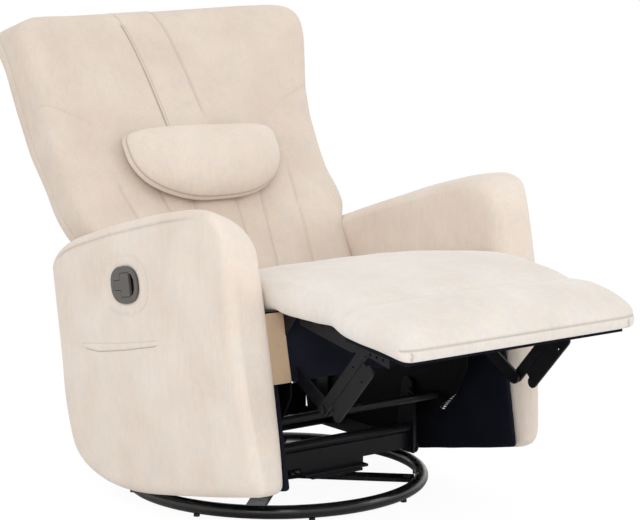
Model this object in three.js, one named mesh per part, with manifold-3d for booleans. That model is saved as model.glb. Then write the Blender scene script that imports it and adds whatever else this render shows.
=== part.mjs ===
import * as THREE from "three";
import { mergeVertices } from "three/addons/utils/BufferGeometryUtils.js";
import Module from "manifold-3d";

// Swivel glider recliner, millimetres, +Z up, front toward -Y, swivel axis on x = y = 0 until the end.
// The chair stands as in the photo: footrest out and the seat unit tipped back on its pitch pivot.
// Seat unit, arms and backrest are drawn level and tipped together; the footrest is drawn tipped.

const wasm = await Module();
wasm.setup();

// General sizes
const gap = 0.3;
const sheet = 3;
const barPlate = 5;
const roundSides = 12;
const tubeSides = 16;
const wireSides = 5;
const overlap = 1;
const half = 0.5;
const quarterTurn = Math.PI / 2;

// Widths from the middle of the chair, from the seat cushion inward and each from the one outside it
const seatHalf = 268;
const armEase = 6.6;
const liningRoom = 13.1;
const railThick = 20.5;
const hingeBracketStep = 3.7;
const footBracketStep = 4.3;
const frontLinkStep = 8;
const rearLinkStep = 8.7;
const sidePlateStep = 10;
const carriageStep = 7.3;
const glideLinkStep = 6;
const earStep = 3;
const insideHalf = seatHalf + armEase;
const railOuter = insideHalf - liningRoom;
const railInner = railOuter - railThick;
const hingeBracketInner = railInner - hingeBracketStep;
const footBracketInner = hingeBracketInner - footBracketStep;
const frontLinkInner = footBracketInner - frontLinkStep;
const rearLinkInner = frontLinkInner - rearLinkStep;
const sidePlateInner = rearLinkInner - sidePlateStep;
const carriageInner = sidePlateInner - carriageStep;
const linkInner = carriageInner - glideLinkStep;
const earOuter = linkInner - earStep;

// Base
const ringRadius = 286;
const ringTube = 13;
const ringHeight = 28;
const ringSteps = 40;
const footCount = 8;
const footRadius = 6;
const footTall = 5;
const spokeCount = 4;
const spokeWidth = 36;
const spokeThick = 8;
const spokeEndGap = 1.5;
const postFlange = 70;
const postRadius = 30;
const postTop = 58;
const spigotRadius = 12;
const spigotTop = 78;
const capRadius = 62;
const capThick = 8;

// Turntable and glide
const turntableWidth = 120;
const turntableLength = 400;
const pivotSpread = 180;
const earThick = 4;
const earHalfWidth = 18;
const upperPivotZ = 190;
const glideLength = 100;
const linkHalfWidth = 12;
const studRadius = 5.5;
const headRadius = 9;
const headThick = 2.2;
const holeClearance = 0.9;
const earLow = 80;
const yokeTubeRadius = 11;
const yokeTubeZ = 130;
const yokeFootHalf = 75;
const yokeWebLow = 88;
const yokeWebHalf = 2;
const rearWebTop = 154;
const carriageThick = 4;
const carriageHalfHeight = 14;
const lugRadius = 16;
const rearLug = [96, 132];
const crossRodRadius = 9;
const crossRodSpread = 100;

// Pitch of the seat unit
const tiltDegrees = 10.5;
const tilt = THREE.MathUtils.degToRad(tiltDegrees);
const pitchY = -160;
const pitchZ = 210;
const pitchStud = 7;

// Footrest linkage, drawn level
const hingeY = -440.6;
const hingeZ = 407.2;
const rearPivotY = -307;
const rearPivotZ = 345.4;
const kneeY = -461.8;
const kneeZ = 219.1;
const tipY = -599.4;
const tipZ = 319.8;
const torsionRadius = 9;
const rearLinkHalf = 13;
const frontLinkHalf = 11;
const stayOffset = 33;
const stayLead = 26;
const stayShort = 14;
const linkWebThick = 2;
const rivetRadius = 3;
const hingeEye = 9;
const hingeEyeRise = 4;
const hingeStud = 4.5;
const hingeHead = 7;
const hingeFootZs = [350, 392];
const hingeFootInset = 4;

// Seat box, drawn level; its rails hang from the deck
const seatDeck = 398;
const sidePlateDrop = 26;
const sidePlateTop = seatDeck - sidePlateDrop;
const sidePlateFront = -345;
const sidePlateRear = 105;
const sidePlateEdge = [
  [-350, 300],
  [-342, 240],
  [-300, 190],
  [-230, 160],
  [-60, 128],
  [150, 128],
  [188, 150],
  [192, 300],
];
const backEye = 20;
const flangeYs = [-250, 60];
const flangeRise = 2;
const stretcherRadius = 8;
const stretcherY = -242;
const stretcherZ = 189;
const railFrontY = -363;
const railRearY = 62;
const railTall = 68;
const railLow = seatDeck - railTall;
const frontRailThick = 22;
const frontRailTall = 128;
const frontRailLow = seatDeck - frontRailTall;
const notchInnerStep = 5.7;
const notchOuterStep = 0.8;
const notchInner = sidePlateInner + notchInnerStep;
const notchOuter = hingeBracketInner - notchOuterStep;
const notchTall = 64;
const notchTop = frontRailLow + notchTall;
const notchOver = 10;
const clothThick = 2.7;
const rearRailY = 38;
const rearRailThick = 20;
const rearRailTall = 22;
const rearRailLow = seatDeck - rearRailTall;

// Zigzag seat springs
const springWire = 2;
const springSwing = 24;
const springLoops = 5;
const stepsPerLoop = 8;
const springXs = [-130, 0, 130];

// Seat cushion
const seatFront = -436;
const seatRear = 46;
const seatThick = 50;
const seatTop = seatDeck + seatThick;
const seatCrown = 24;
const seatEdge = 18;
const domeReachShare = 1.05;
const seatStationInset = 38;
const seatStationSteps = 10;
const seatRowInset = 36;
const seatRowSteps = 9;

// Slots that keep the cushions clear of the footrest hinge
const slotDepth = 60;
const slotEase = 1.5;
const seatSlot = [20, 46, 22];
const bridgeSlot = [26, 10, 18];

// Arms
const armThick = 84.4;
const armOuter = insideHalf + armThick;
const armFront = -396;
const armRear = 209;
const armLow = 76;
const armTop = 588;
const armEdge = 20;
const armCrown = 7;
const armTaper = 24;
const armTaperTop = 330;
const armStations = [-355, -330, -270, -180, -40, 60, 125, 160];
const armHeights = [150, 520, 6];

// Arm outline seen from the side: top edge on the seat's side, on the outer side, and bottom edge
const armTopRows = [
  [armFront, 474],
  [-390, 503],
  [-376, 532],
  [-348, 556],
  [-312, 571],
  [-270, 581],
  [-205, armTop],
  [-140, armTop],
  [-24, 580],
  [98, 564],
  [145, 555],
  [180, 539],
  [armRear, 505],
];
const armOuterTopRows = [
  [armFront, 500],
  [-390, 533],
  [-376, 573],
  [-348, 588],
  [-312, 592],
  [-270, 592],
  [-205, 590],
  [-140, 586],
  [-24, 577],
  [98, 562],
  [145, 553],
  [180, 538],
  [armRear, 505],
];
const armLowRows = [
  [armFront, armLow],
  [-180, 78],
  [-40, 84],
  [60, 94],
  [125, 105],
  [160, 119],
  [186, 142],
  [200, 172],
  [armRear, 215],
];

// Arm linings, with the two pins of the tension spring
const liningRear = 188;
const liningDrop = 2;
const liningTop = seatDeck - liningDrop;
const liningRise = 4;
const springPins = [
  [-198, 154],
  [-255, 195],
];
const springStep = 14.5;
const springX = railOuter - springStep;
const pinRadius = 3;
const pinReach = 8;
const pinEase = 5;
const coilWire = 1.6;
const coilRadius = 5.4;
const coilTurns = 9;
const stepsPerTurn = 8;

// Release handle in the left arm
const handleY = -68;
const handleZ = 470;
const handleLong = 47;
const handleTall = 35;
const surroundRim = 6;
const surroundThick = 3.5;
const cupDepth = 18;
const recessEase = 2;
const recessOver = 20;
const stemReach = 34;
const stemHalf = 9;
const headReach = [-16, 12];
const headHalf = 22;
const fingerOutline = [
  [-14, -23],
  [-14, 23],
  [-26, 19],
  [-33, 8],
  [-33, -8],
  [-26, -19],
];

// Hemmed pocket edge on the left arm
const pocketOutline = [
  [-160, 352],
  [-46, 347],
  [47, 346],
  [100, 354],
  [100, 368],
  [-30, 366],
  [-160, 368],
];

// Backrest, drawn in a frame that starts at the seat and leans with the back
const leanDegrees = 24;
const lean = THREE.MathUtils.degToRad(leanDegrees);
const backFootY = 60;
const backFootZ = 430;
const backLow = -25;
const backTop = 652;
const backPad = 62;
const backShell = 19;
const backEdge = 24;
const backSeam = 5;
const wingDrop = 38;
const wingDropStart = 400;
const backLowEase = 6;
const backLowHalf = seatHalf - backLowEase;
const backHalf = 322;
const backTopHalf = 342;
const backFlare = 14;
const wingStart = 150;
const wingStep = 12;
const wingBaseLess = 4;
const waistLess = 6;
const shoulderMore = 8;
const wingInner = 57;
const wingPower = 1.4;
const sideStationShare = 1.35;
const backCorner = 62;
const backHingeY = 120;
const backHingeZ = 330;
const backBracketEye = 18;
const backBracketSeat = 3;
const backBracketLow = [-20, 34];
const backBracketHigh = [110, 30];
const backBracketFoot = -34;

// How far the face of the back stands rearward: wings come forward, the crest rolls back
const wingRows = [
  [0, 10],
  [200, 12],
  [370, 0],
  [552, -58],
  [backTop, -72],
];

const crestRows = [
  [575, 0],
  [backTop - backEdge, 9],
  [backTop, 18],
];

// Half widths of the back by height along it, and its rows of stations
const backHalfRows = [
  [wingStart, backLowHalf],
  [wingStart + wingStep, backHalf - wingBaseLess],
  [280, backHalf - waistLess],
  [480, backHalf + shoulderMore],
  [backTop - backCorner, backTopHalf],
];

const backZs = [40, 95, wingStart, wingStart + wingStep, 200, 250, 320, 390, 460, 520, 575];

// Seams of the backrest channels
const channelShares = [-0.641, -0.393, -0.172, 0.172, 0.393, 0.641];
const channelXs = channelShares.map((share) => share * backLowHalf);
const channelTop = 250;
const channelFade = 60;
const channelDepth = 8;
const channelHalf = 29;

// Strap and pillow
const strapHalf = 51;
const strapThick = 4;
const strapLow = 234;
const strapRearDrop = 130;
const strapRearTurn = 4;
const turnShares = [0, 0.33, 0.67, 1];
const pillowHalf = 186;
const pillowTall = 166;
const pillowThick = 62;
const pillowMiddle = 274;
const pillowSteps = [28, 14];

// Footrest, drawn as it stands in the photo
const padHalf = seatHalf;
const bridgeRear = -405;
const bridgeLong = 134.5;
const bridgeFront = bridgeRear - bridgeLong;
const bridgeLow = 441;
const bridgeTop = 482;
const bridgeEdge = 17;
const bridgeCrown = 9;
const bridgeReach = 75;
const bridgeGap = 1.5;
const ottomanRear = bridgeFront - bridgeGap;
const ottomanLong = 183;
const ottomanFront = ottomanRear - ottomanLong;
const ottomanRearLow = 422;
const ottomanFrontLow = 403;
const ottomanRearTop = 468;
const ottomanFrontTop = 436;
const ottomanEdge = 15;
const ottomanCrown = 20;
const ottomanReach = 100;
const padStationInset = 33;
const padStationSteps = 6;
const bridgeRowInset = 30;
const bridgeRowSteps = 2;
const ottomanRowInset = 34;
const ottomanRowSteps = 3;
const boardThick = 5;
const boardSideInset = 20;
const boardHalf = padHalf - boardSideInset;
const boardRearInset = 5;
const boardFrontInset = 12;
const stripDeep = 22;
const stripFrontInset = 74;
const stripFront = ottomanFront + stripFrontInset;
const stripInset = 4;
const tipEye = 12;
const hingeBore = 5.2;
const stripHole = 3.4;
const bridgeHoles = [-430, -530, 3];
const ottomanHoleInsets = [50, 15];
const ledgeWide = 22;
const ledgeInset = 6;
const ledgeBack = 34;

const paint = (color, roughness, metalness) =>
  new THREE.MeshStandardMaterial({ color, roughness, metalness });
const fabric = paint("#e6dacb", 0.95, 0);
const seatFabric = paint("#eee8df", 0.95, 0);
const lining = paint("#0b0e16", 0.9, 0);
const blackMetal = paint("#17171a", 0.45, 0.6);
const brightSteel = paint("#a9adb3", 0.35, 0.9);
const darkPlastic = paint("#55504c", 0.5, 0);
const blackPlastic = paint("#1b1b1d", 0.6, 0);
const timber = paint("#8a6b4a", 0.8, 0);

const root = new THREE.Group();
root.name = "swivel_glider_recliner";
const levelParts = new THREE.Group();
levelParts.name = "level_parts";

function place(parent, name, geometry, material) {
  const mesh = new THREE.Mesh(mergeVertices(stripped(geometry)), material);
  mesh.geometry.computeVertexNormals();
  mesh.name = name;
  parent.add(mesh);
}

function stripped(geometry) {
  const bare = geometry.clone();
  bare.deleteAttribute("normal");
  bare.deleteAttribute("uv");
  return bare;
}

function solidOf(geometry) {
  const merged = mergeVertices(stripped(geometry));
  const mesh = new wasm.Mesh({
    numProp: 3,
    vertProperties: new Float32Array(merged.attributes.position.array),
    triVerts: new Uint32Array(merged.index.array),
  });
  return new wasm.Manifold(mesh);
}

function geometryOf(solid) {
  const mesh = solid.getMesh();
  const geometry = new THREE.BufferGeometry();
  geometry.setAttribute("position", new THREE.BufferAttribute(mesh.vertProperties, 3));
  geometry.setIndex(new THREE.BufferAttribute(mesh.triVerts, 1));
  return geometry;
}

function joined(...geometries) {
  return geometryOf(geometries.map(solidOf).reduce((all, next) => all.add(next)));
}

function cutFrom(geometry, ...tools) {
  return geometryOf(tools.map(solidOf).reduce((rest, tool) => rest.subtract(tool), solidOf(geometry)));
}

function block(xs, ys, zs) {
  const box = new THREE.BoxGeometry(xs[1] - xs[0], ys[1] - ys[0], zs[1] - zs[0]);
  return box.translate((xs[0] + xs[1]) * half, (ys[0] + ys[1]) * half, (zs[0] + zs[1]) * half);
}

const ordered = (a, b) => [Math.min(a, b), Math.max(a, b)];

// A rod that runs along X between two stations
function rod(radius, from, to, y, z, sides = roundSides) {
  const cylinder = new THREE.CylinderGeometry(radius, radius, Math.abs(to - from), sides);
  return cylinder.rotateZ(quarterTurn).translate((from + to) * half, y, z);
}

// A plate drawn in the Y-Z plane and given its thickness along X
function plate(shape, from, to) {
  const thick = Math.abs(to - from);
  const flat = new THREE.ExtrudeGeometry(shape, { depth: thick, bevelEnabled: false });
  const toSide = new THREE.Matrix4().makeBasis(
    new THREE.Vector3(0, 1, 0),
    new THREE.Vector3(0, 0, 1),
    new THREE.Vector3(1, 0, 0),
  );
  return flat.applyMatrix4(toSide).translate(Math.min(from, to), 0, 0);
}

function outline(points) {
  return new THREE.Shape(points.map(([y, z]) => new THREE.Vector2(y, z)));
}

// Points on a circle, used to draw eyes, holes and rounded ends
function circlePoints(y, z, radius, count, first = 0, sweep = Math.PI * 2) {
  const steps = sweep < Math.PI * 2 ? count : count - 1;
  return Array.from({ length: steps + 1 }, (_, i) => {
    const angle = first + (sweep * i) / count;
    return [y + radius * Math.cos(angle), z + radius * Math.sin(angle)];
  });
}

// A bar with round ends between two pivots
function barShape(start, end, radius) {
  const along = Math.atan2(end[1] - start[1], end[0] - start[0]);
  const steps = roundSides * half;
  return outline([
    ...circlePoints(end[0], end[1], radius, steps, along - quarterTurn, Math.PI),
    ...circlePoints(start[0], start[1], radius, steps, along + quarterTurn, Math.PI),
  ]);
}

function holed(shape, y, z, radius) {
  shape.holes.push(outline(circlePoints(y, z, radius, roundSides)));
  return shape;
}

// Signed stations: -1 is the chair's left side at -X, +1 the side at +X
const bothSides = [
  ["left", -1],
  ["right", 1],
];

function spaced(from, to, count) {
  return Array.from({ length: count + 1 }, (_, i) => from + ((to - from) * i) / count);
}

// Evenly spaced stations that start and end an inset from two edges
function insetStations(from, to, inset, count) {
  return spaced(from + inset, to - inset, count);
}

// Stations across one direction of a cushion: evenly turned steps in both edges, given ones between
function edgeStations(from, to, radius, steps, between) {
  const turned = Array.from({ length: steps }, (_, i) => {
    const angle = (Math.PI / 4) * (1 - i / steps);
    return radius * Math.tan(angle);
  });
  const start = turned.map((rise) => from + radius - rise);
  const end = turned.map((rise) => to - radius + rise).reverse();
  return [...start, ...between, ...end];
}

// A box with rounded edges whose points are then moved by form(point)
function cushion(xs, ys, zs, radius, form) {
  const [nx, ny, nz] = [xs.length - 1, ys.length - 1, zs.length - 1];
  const box = new THREE.BoxGeometry(nx, ny, nz, nx, ny, nz);
  const position = box.attributes.position;
  const low = new THREE.Vector3(xs[0], ys[0], zs[0]).addScalar(radius);
  const high = new THREE.Vector3(xs[nx], ys[ny], zs[nz]).subScalar(radius);
  const point = new THREE.Vector3();
  const core = new THREE.Vector3();
  for (let i = 0; i < position.count; i += 1) {
    point.set(
      xs[Math.round(position.getX(i) + nx * half)],
      ys[Math.round(position.getY(i) + ny * half)],
      zs[Math.round(position.getZ(i) + nz * half)],
    );
    core.copy(point).clamp(low, high);
    point.sub(core).setLength(radius).add(core);
    form(point);
    position.setXYZ(i, point.x, point.y, point.z);
  }
  return box;
}

const smooth = (value, from, to) => THREE.MathUtils.smoothstep(value, from, to);
const dome = (value, middle, reach) => Math.max(0, 1 - ((value - middle) / reach) ** 2);

// A curve read from a table of [where, value] rows
function readCurve(rows, where) {
  const next = rows.findIndex(([at]) => at >= where);
  if (next < 0) return rows[rows.length - 1][1];
  if (next === 0) return rows[0][1];
  const [a, va] = rows[next - 1];
  const [b, vb] = rows[next];
  return va + ((vb - va) * (where - a)) / (b - a);
}

// Base: round tube ring, flat spokes, feet and the swivel post
function addBase() {
  const ring = new THREE.TorusGeometry(ringRadius, ringTube, roundSides, ringSteps);
  place(root, "base_ring", ring.translate(0, 0, ringHeight), blackMetal);

  const spokeReach = ringRadius - ringTube - spokeEndGap;
  const halfSpoke = spokeWidth * half;
  const corners = [];
  for (let i = 0; i < spokeCount; i += 1) {
    const turn = new THREE.Vector2();
    for (const [reach, side] of [[halfSpoke, -halfSpoke], [spokeReach, -halfSpoke], [spokeReach, halfSpoke]]) {
      turn.set(reach, side).rotateAround(new THREE.Vector2(), (Math.PI * (2 * i + 1)) / spokeCount);
      corners.push(turn.clone());
    }
  }
  const cross = new THREE.ExtrudeGeometry(new THREE.Shape(corners), {
    depth: spokeThick,
    bevelEnabled: false,
  });
  const spokeLow = ringHeight - spokeThick * half;
  place(root, "base_cross", cross.translate(0, 0, spokeLow), blackMetal);

  const footTop = ringHeight - ringTube - gap;
  for (let i = 0; i < footCount; i += 1) {
    const angle = (Math.PI * 2 * (i + half)) / footCount;
    const foot = new THREE.CylinderGeometry(footRadius, footRadius, footTall, roundSides);
    foot.rotateX(quarterTurn);
    const footMiddle = footTop - footTall * half;
    foot.translate(ringRadius * Math.cos(angle), ringRadius * Math.sin(angle), footMiddle);
    place(root, `base_foot_${i + 1}`, foot, blackPlastic);
  }

  const flangeLow = spokeLow + spokeThick + gap;
  const post = new THREE.LatheGeometry(
    [
      [0, flangeLow],
      [postFlange, flangeLow],
      [postFlange, flangeLow + spokeThick],
      [postRadius, flangeLow + spokeThick],
      [postRadius, postTop],
      [spigotRadius, postTop],
      [spigotRadius, spigotTop],
      [0, spigotTop],
    ].map(([r, z]) => new THREE.Vector2(r, z)),
    tubeSides,
  );
  place(root, "swivel_post", post.rotateX(quarterTurn), blackMetal);
}

// Turntable: bearing cap, plate and the two yokes the glide links hang from
function addTurntable() {
  const bore = spigotRadius + holeClearance;
  const hole = new THREE.CylinderGeometry(bore, bore, spigotTop, tubeSides).rotateX(quarterTurn);
  hole.translate(0, 0, spigotTop);
  const capLow = postTop + gap;
  const cap = new THREE.CylinderGeometry(capRadius, capRadius, capThick, 2 * roundSides);
  cap.rotateX(quarterTurn).translate(0, 0, capLow + capThick * half);
  place(root, "bearing_cap", cutFrom(cap, hole), blackMetal);

  const plateLow = capLow + capThick + gap;
  const plateTop = plateLow + barPlate;
  const halfWidth = turntableWidth * half;
  const halfLength = turntableLength * half;
  const table = block([-halfWidth, halfWidth], [-halfLength, halfLength], [plateLow, plateTop]);
  place(root, "turntable_plate", cutFrom(table, hole), blackMetal);

  addYoke("yoke_front", -pivotSpread, plateTop + gap, yokeTubeZ);
  addYoke("yoke_rear", pivotSpread, plateTop + gap, rearWebTop);
}

// A yoke: foot on the turntable, upright web, tube and an ear at each end
function addYoke(name, y, footLow, webTop) {
  const span = [y - earHalfWidth, y + earHalfWidth];
  const webYs = [y - yokeWebHalf, y + yokeWebHalf];
  const foot = [-yokeFootHalf, yokeFootHalf];
  const reach = earOuter - overlap;
  const ears = bothSides.map(([, side]) => {
    const shape = outline([
      [span[0], earLow],
      [span[1], earLow],
      ...circlePoints(y, upperPivotZ, earHalfWidth, roundSides * half, 0, Math.PI),
    ]);
    holed(shape, y, upperPivotZ, studRadius + holeClearance);
    return plate(shape, side * (earOuter - earThick), side * earOuter);
  });
  const pieces = [
    block(foot, span, [footLow, footLow + barPlate]),
    block(foot, webYs, [footLow + overlap, yokeWebLow + overlap]),
    block([-reach, reach], webYs, [yokeWebLow, webTop]),
    rod(yokeTubeRadius, -reach, reach, y, yokeTubeZ, tubeSides),
    ...ears,
  ];
  place(root, name, joined(...pieces), blackMetal);
}

// Glide links: each hangs on a stud in the yoke ear and carries a stud for the carriage
function addGlideLinks() {
  const lowerPivotZ = upperPivotZ - glideLength;
  for (const [end, y] of [["front", -pivotSpread], ["rear", pivotSpread]]) {
    for (const [name, side] of bothSides) {
      const linkOuter = linkInner + barPlate;
      const shape = barShape([y, lowerPivotZ], [y, upperPivotZ], linkHalfWidth);
      const bar = plate(shape, side * linkInner, side * linkOuter);
      const innerHead = earOuter - earThick - gap;
      const outerHead = carriageInner + carriageThick + gap;
      const pieces = [
        rod(studRadius, side * (linkInner + overlap), side * (innerHead - overlap), y, upperPivotZ),
        rod(headRadius, side * innerHead, side * (innerHead - headThick), y, upperPivotZ),
        rod(studRadius, side * (linkOuter - overlap), side * (outerHead + overlap), y, lowerPivotZ),
        rod(headRadius, side * outerHead, side * (outerHead + headThick), y, lowerPivotZ),
      ];
      place(root, `glide_link_${end}_${name}`, joined(bar, ...pieces), blackMetal);
    }
  }
}

// Carriage: two side rails with lugs for the pitch pivot, joined by two cross rods
function addCarriage() {
  const lowerPivotZ = upperPivotZ - glideLength;
  const carriageOuter = carriageInner + carriageThick;
  const low = lowerPivotZ - carriageHalfHeight;
  const high = lowerPivotZ + carriageHalfHeight;
  const pieces = [];
  for (const [, side] of bothSides) {
    const shape = outline([
      ...circlePoints(-pivotSpread, lowerPivotZ, carriageHalfHeight, roundSides * half, quarterTurn, Math.PI),
      [pivotSpread, low],
      ...circlePoints(pivotSpread, lowerPivotZ, carriageHalfHeight, roundSides * half, -quarterTurn, Math.PI),
      [rearLug[1], high],
      [rearLug[1], pitchZ],
      [rearLug[0], pitchZ],
      [rearLug[0], high],
      [pitchY + 2 * lugRadius, high],
      ...circlePoints(pitchY, pitchZ, lugRadius, roundSides * half, 0, Math.PI),
    ]);
    for (const y of [-pivotSpread, pivotSpread]) holed(shape, y, lowerPivotZ, studRadius + holeClearance);
    const head = sidePlateInner + sheet + gap;
    pieces.push(
      plate(shape, side * carriageInner, side * carriageOuter),
      rod(pitchStud, side * (carriageInner + overlap), side * (head + overlap), pitchY, pitchZ),
      rod(headRadius, side * head, side * (head + headThick), pitchY, pitchZ),
    );
  }
  const rodReach = carriageInner + overlap;
  for (const y of [-crossRodSpread, crossRodSpread]) {
    pieces.push(rod(crossRodRadius, -rodReach, rodReach, y, lowerPivotZ));
  }
  place(root, "carriage_frame", joined(...pieces), blackMetal);
}

// Side plates: they carry the seat rails, the torsion tube, the stretcher and the backrest hinge
function addSidePlates() {
  const outer = sidePlateInner + sheet;
  const bracketOuter = outer + gap + sheet;
  const eye = circlePoints(backHingeY, backHingeZ, backEye, roundSides * half, 0, quarterTurn);
  for (const [name, side] of bothSides) {
    const shape = outline([
      ...sidePlateEdge,
      ...eye,
      [sidePlateRear, sidePlateTop],
      [sidePlateFront, sidePlateTop],
    ]);
    holed(shape, pitchY, pitchZ, pitchStud + holeClearance);
    holed(shape, rearPivotY, rearPivotZ, torsionRadius + holeClearance);
    const ledge = ordered(side * (outer - overlap), side * (railInner - gap));
    const hingeHeadX = bracketOuter + gap;
    const pieces = [
      plate(shape, side * sidePlateInner, side * outer),
      block(ledge, flangeYs, [sidePlateTop - overlap, sidePlateTop + flangeRise]),
      rod(pitchStud, side * (outer - overlap), side * (hingeHeadX + overlap), backHingeY, backHingeZ),
      rod(headRadius, side * hingeHeadX, side * (hingeHeadX + headThick), backHingeY, backHingeZ),
    ];
    place(levelParts, `side_plate_${name}`, joined(...pieces), blackMetal);
  }
  const reach = sidePlateInner - gap;
  const stretcher = rod(stretcherRadius, -reach, reach, stretcherY, stretcherZ, tubeSides);
  place(levelParts, "seat_stretcher", stretcher, blackMetal);
}

// Seat box: timber rails and the wrapped front rail
function addSeatBox() {
  const sides = (inner, outer, side) => ordered(side * inner, side * outer);
  const front = railFrontY - frontRailThick;
  const notched = (outer) => bothSides.map(([, side]) =>
    block(
      sides(notchInner, outer, side),
      [front - notchOver, railFrontY + notchOver],
      [frontRailLow - notchOver, notchTop],
    ),
  );
  const rail = block([-railOuter, railOuter], [front, railFrontY], [frontRailLow, seatDeck]);
  place(levelParts, "front_rail", cutFrom(rail, ...notched(notchOuter)), timber);

  const clothRear = front - gap;
  const liningHalf = hingeBracketInner - gap;
  const clothYs = [clothRear - clothThick, clothRear];
  const cloth = block([-liningHalf, liningHalf], clothYs, [frontRailLow, seatDeck]);
  place(levelParts, "front_lining", cutFrom(cloth, ...notched(railInner)), lining);

  const wrapInner = hingeBracketInner + sheet + 2 * gap;
  const wrapOuter = insideHalf - gap;
  const wrapYs = clothYs.map((y) => y - sheet - gap);
  for (const [name, side] of bothSides) {
    const wrap = block(sides(wrapInner, wrapOuter, side), wrapYs, [frontRailLow, seatDeck]);
    place(levelParts, `rail_wrap_${name}`, wrap, fabric);
    const sideYs = [railFrontY + gap, railRearY];
    const sideRail = block(sides(railInner, railOuter, side), sideYs, [railLow, seatDeck]);
    place(levelParts, `side_rail_${name}`, sideRail, timber);
  }

  const rearHalf = railInner - gap;
  const rearYs = [rearRailY, rearRailY + rearRailThick];
  const rear = block([-rearHalf, rearHalf], rearYs, [rearRailLow, seatDeck]);
  place(levelParts, "rear_rail", rear, timber);
}

// A round wire swept along a curve through the given points
function wireAlong(points, radius) {
  const corners = circlePoints(0, 0, radius, wireSides).map(([a, b]) => new THREE.Vector2(a, b));
  return new THREE.ExtrudeGeometry(new THREE.Shape(corners), {
    steps: points.length - 1,
    extrudePath: new THREE.CatmullRomCurve3(points),
    bevelEnabled: false,
  });
}

// Zigzag seat springs: wires that snake from the front rail to the rear rail
function addSeatSprings() {
  const from = railFrontY + gap + springWire;
  const to = rearRailY - gap - springWire;
  const z = seatDeck - springWire - gap;
  springXs.forEach((x, i) => {
    const points = spaced(0, 1, springLoops * stepsPerLoop).map((share) => {
      const turn = share * springLoops * Math.PI * 2;
      return new THREE.Vector3(x + springSwing * Math.sin(turn), from + (to - from) * share, z);
    });
    place(levelParts, `seat_spring_${i + 1}`, wireAlong(points, springWire), brightSteel);
  });
}

// Where the footrest hinge passes through the cushions, slots keep them clear of its plates
function hingeSlots(y, z, [reachFront, reachRear, rise]) {
  const slotInner = footBracketInner - gap - headThick - slotEase;
  const slotOuter = hingeBracketInner + sheet + slotEase;
  return bothSides.map(([, side]) => {
    const xs = ordered(side * slotInner, side * slotOuter);
    return block(xs, [y - reachFront, y + reachRear], [z - slotDepth, z + rise]);
  });
}

function addSeatCushion() {
  const low = seatDeck + gap;
  const columns = insetStations(-seatHalf, seatHalf, seatStationInset, seatStationSteps);
  const rows = insetStations(seatFront, seatRear, seatRowInset, seatRowSteps);
  const xs = edgeStations(-seatHalf, seatHalf, seatEdge, 3, columns);
  const ys = edgeStations(seatFront, seatRear, seatEdge, 3, rows);
  const zs = edgeStations(low, seatTop, seatEdge, 3, [(low + seatTop) * half]);
  const middleY = (seatFront + seatRear) * half;
  const reachX = seatHalf * domeReachShare;
  const reachY = (seatRear - seatFront) * half * domeReachShare;
  const pad = cushion(xs, ys, zs, seatEdge, (point) => {
    const up = smooth(point.z, low, seatTop);
    point.z += seatCrown * up * dome(point.x, 0, reachX) * dome(point.y, middleY, reachY);
  });
  const slots = hingeSlots(hingeY, hingeZ, seatSlot);
  place(levelParts, "seat_cushion", cutFrom(pad, ...slots), seatFabric);
}

function armForm(side) {
  return (point) => {
    const share = (point.z - armLow) / (armTop - armLow);
    const low = readCurve(armLowRows, point.y);
    const outward = smooth(Math.abs(point.x), insideHalf, armOuter);
    const innerHigh = readCurve(armTopRows, point.y);
    const high = innerHigh + (readCurve(armOuterTopRows, point.y) - innerHigh) * outward;
    const middle = (insideHalf + armOuter) * half;
    const crown = armCrown * smooth(share, half, 1) * dome(Math.abs(point.x), middle, armOuter - insideHalf);
    point.z = low + (high - low) * share + crown;
    const below = Math.max(0, (armTaperTop - point.z) / (armTaperTop - armLow));
    const bellyShare = 0.02;
    point.x -= side * outward * armTaper * below ** 1.6;
    point.y += (armRear - armFront) * bellyShare * Math.sin(Math.PI * share) * (point.y < 0 ? -half : 0);
  };
}

function addArms() {
  const ys = edgeStations(armFront, armRear, armEdge, 3, armStations);
  const zs = edgeStations(armLow, armTop, armEdge, 3, spaced(...armHeights));
  for (const [name, side] of bothSides) {
    const ends = ordered(side * insideHalf, side * armOuter);
    const middle = (ends[0] + ends[1]) * half;
    const xs = edgeStations(ends[0], ends[1], armEdge, 3, [middle]);
    const arm = cushion(xs, ys, zs, armEdge, armForm(side));
    const shaped = side < 0 ? cutFrom(arm, handleRecess()) : arm;
    place(levelParts, `arm_${name}`, shaped, fabric);
  }
}

// Cloth-covered inner panels of the arms; the right one holds the tension spring's two pins
function addArmLinings() {
  const inner = railOuter + 2 * gap;
  const outer = insideHalf - gap;
  const front = railFrontY - frontRailThick;
  const between = armLowRows.map(([y]) => y).filter((y) => y > front && y < liningRear);
  const shape = outline([
    ...[front, ...between, liningRear].map((y) => [y, readCurve(armLowRows, y) + liningRise]),
    [liningRear, liningTop],
    [front, liningTop],
  ]);
  for (const [name, side] of bothSides) {
    const panel = plate(shape, side * inner, side * outer);
    const pins = springPins.map(([y, z]) => rod(pinRadius, inner + overlap, springX - pinReach, y, z));
    place(levelParts, `arm_lining_${name}`, side > 0 ? joined(panel, ...pins) : panel, lining);
  }
}

// Tension spring wound along a line between its two pins
function addLiftSpring() {
  const [start, end] = springPins.map(([y, z]) => new THREE.Vector3(springX, y, z));
  const along = end.clone().sub(start);
  const axis = along.clone().normalize();
  const across = new THREE.Vector3(1, 0, 0);
  const third = axis.clone().cross(across);
  const first = start.clone().addScaledVector(axis, pinEase);
  const length = along.length() - 2 * pinEase;
  const points = spaced(0, 1, coilTurns * stepsPerTurn).map((share) => {
    const turn = share * coilTurns * Math.PI * 2;
    return first.clone()
      .addScaledVector(axis, length * share)
      .addScaledVector(across, coilRadius * Math.cos(turn))
      .addScaledVector(third, coilRadius * Math.sin(turn));
  });
  place(levelParts, "lift_spring", wireAlong(points, coilWire), brightSteel);
}

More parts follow.
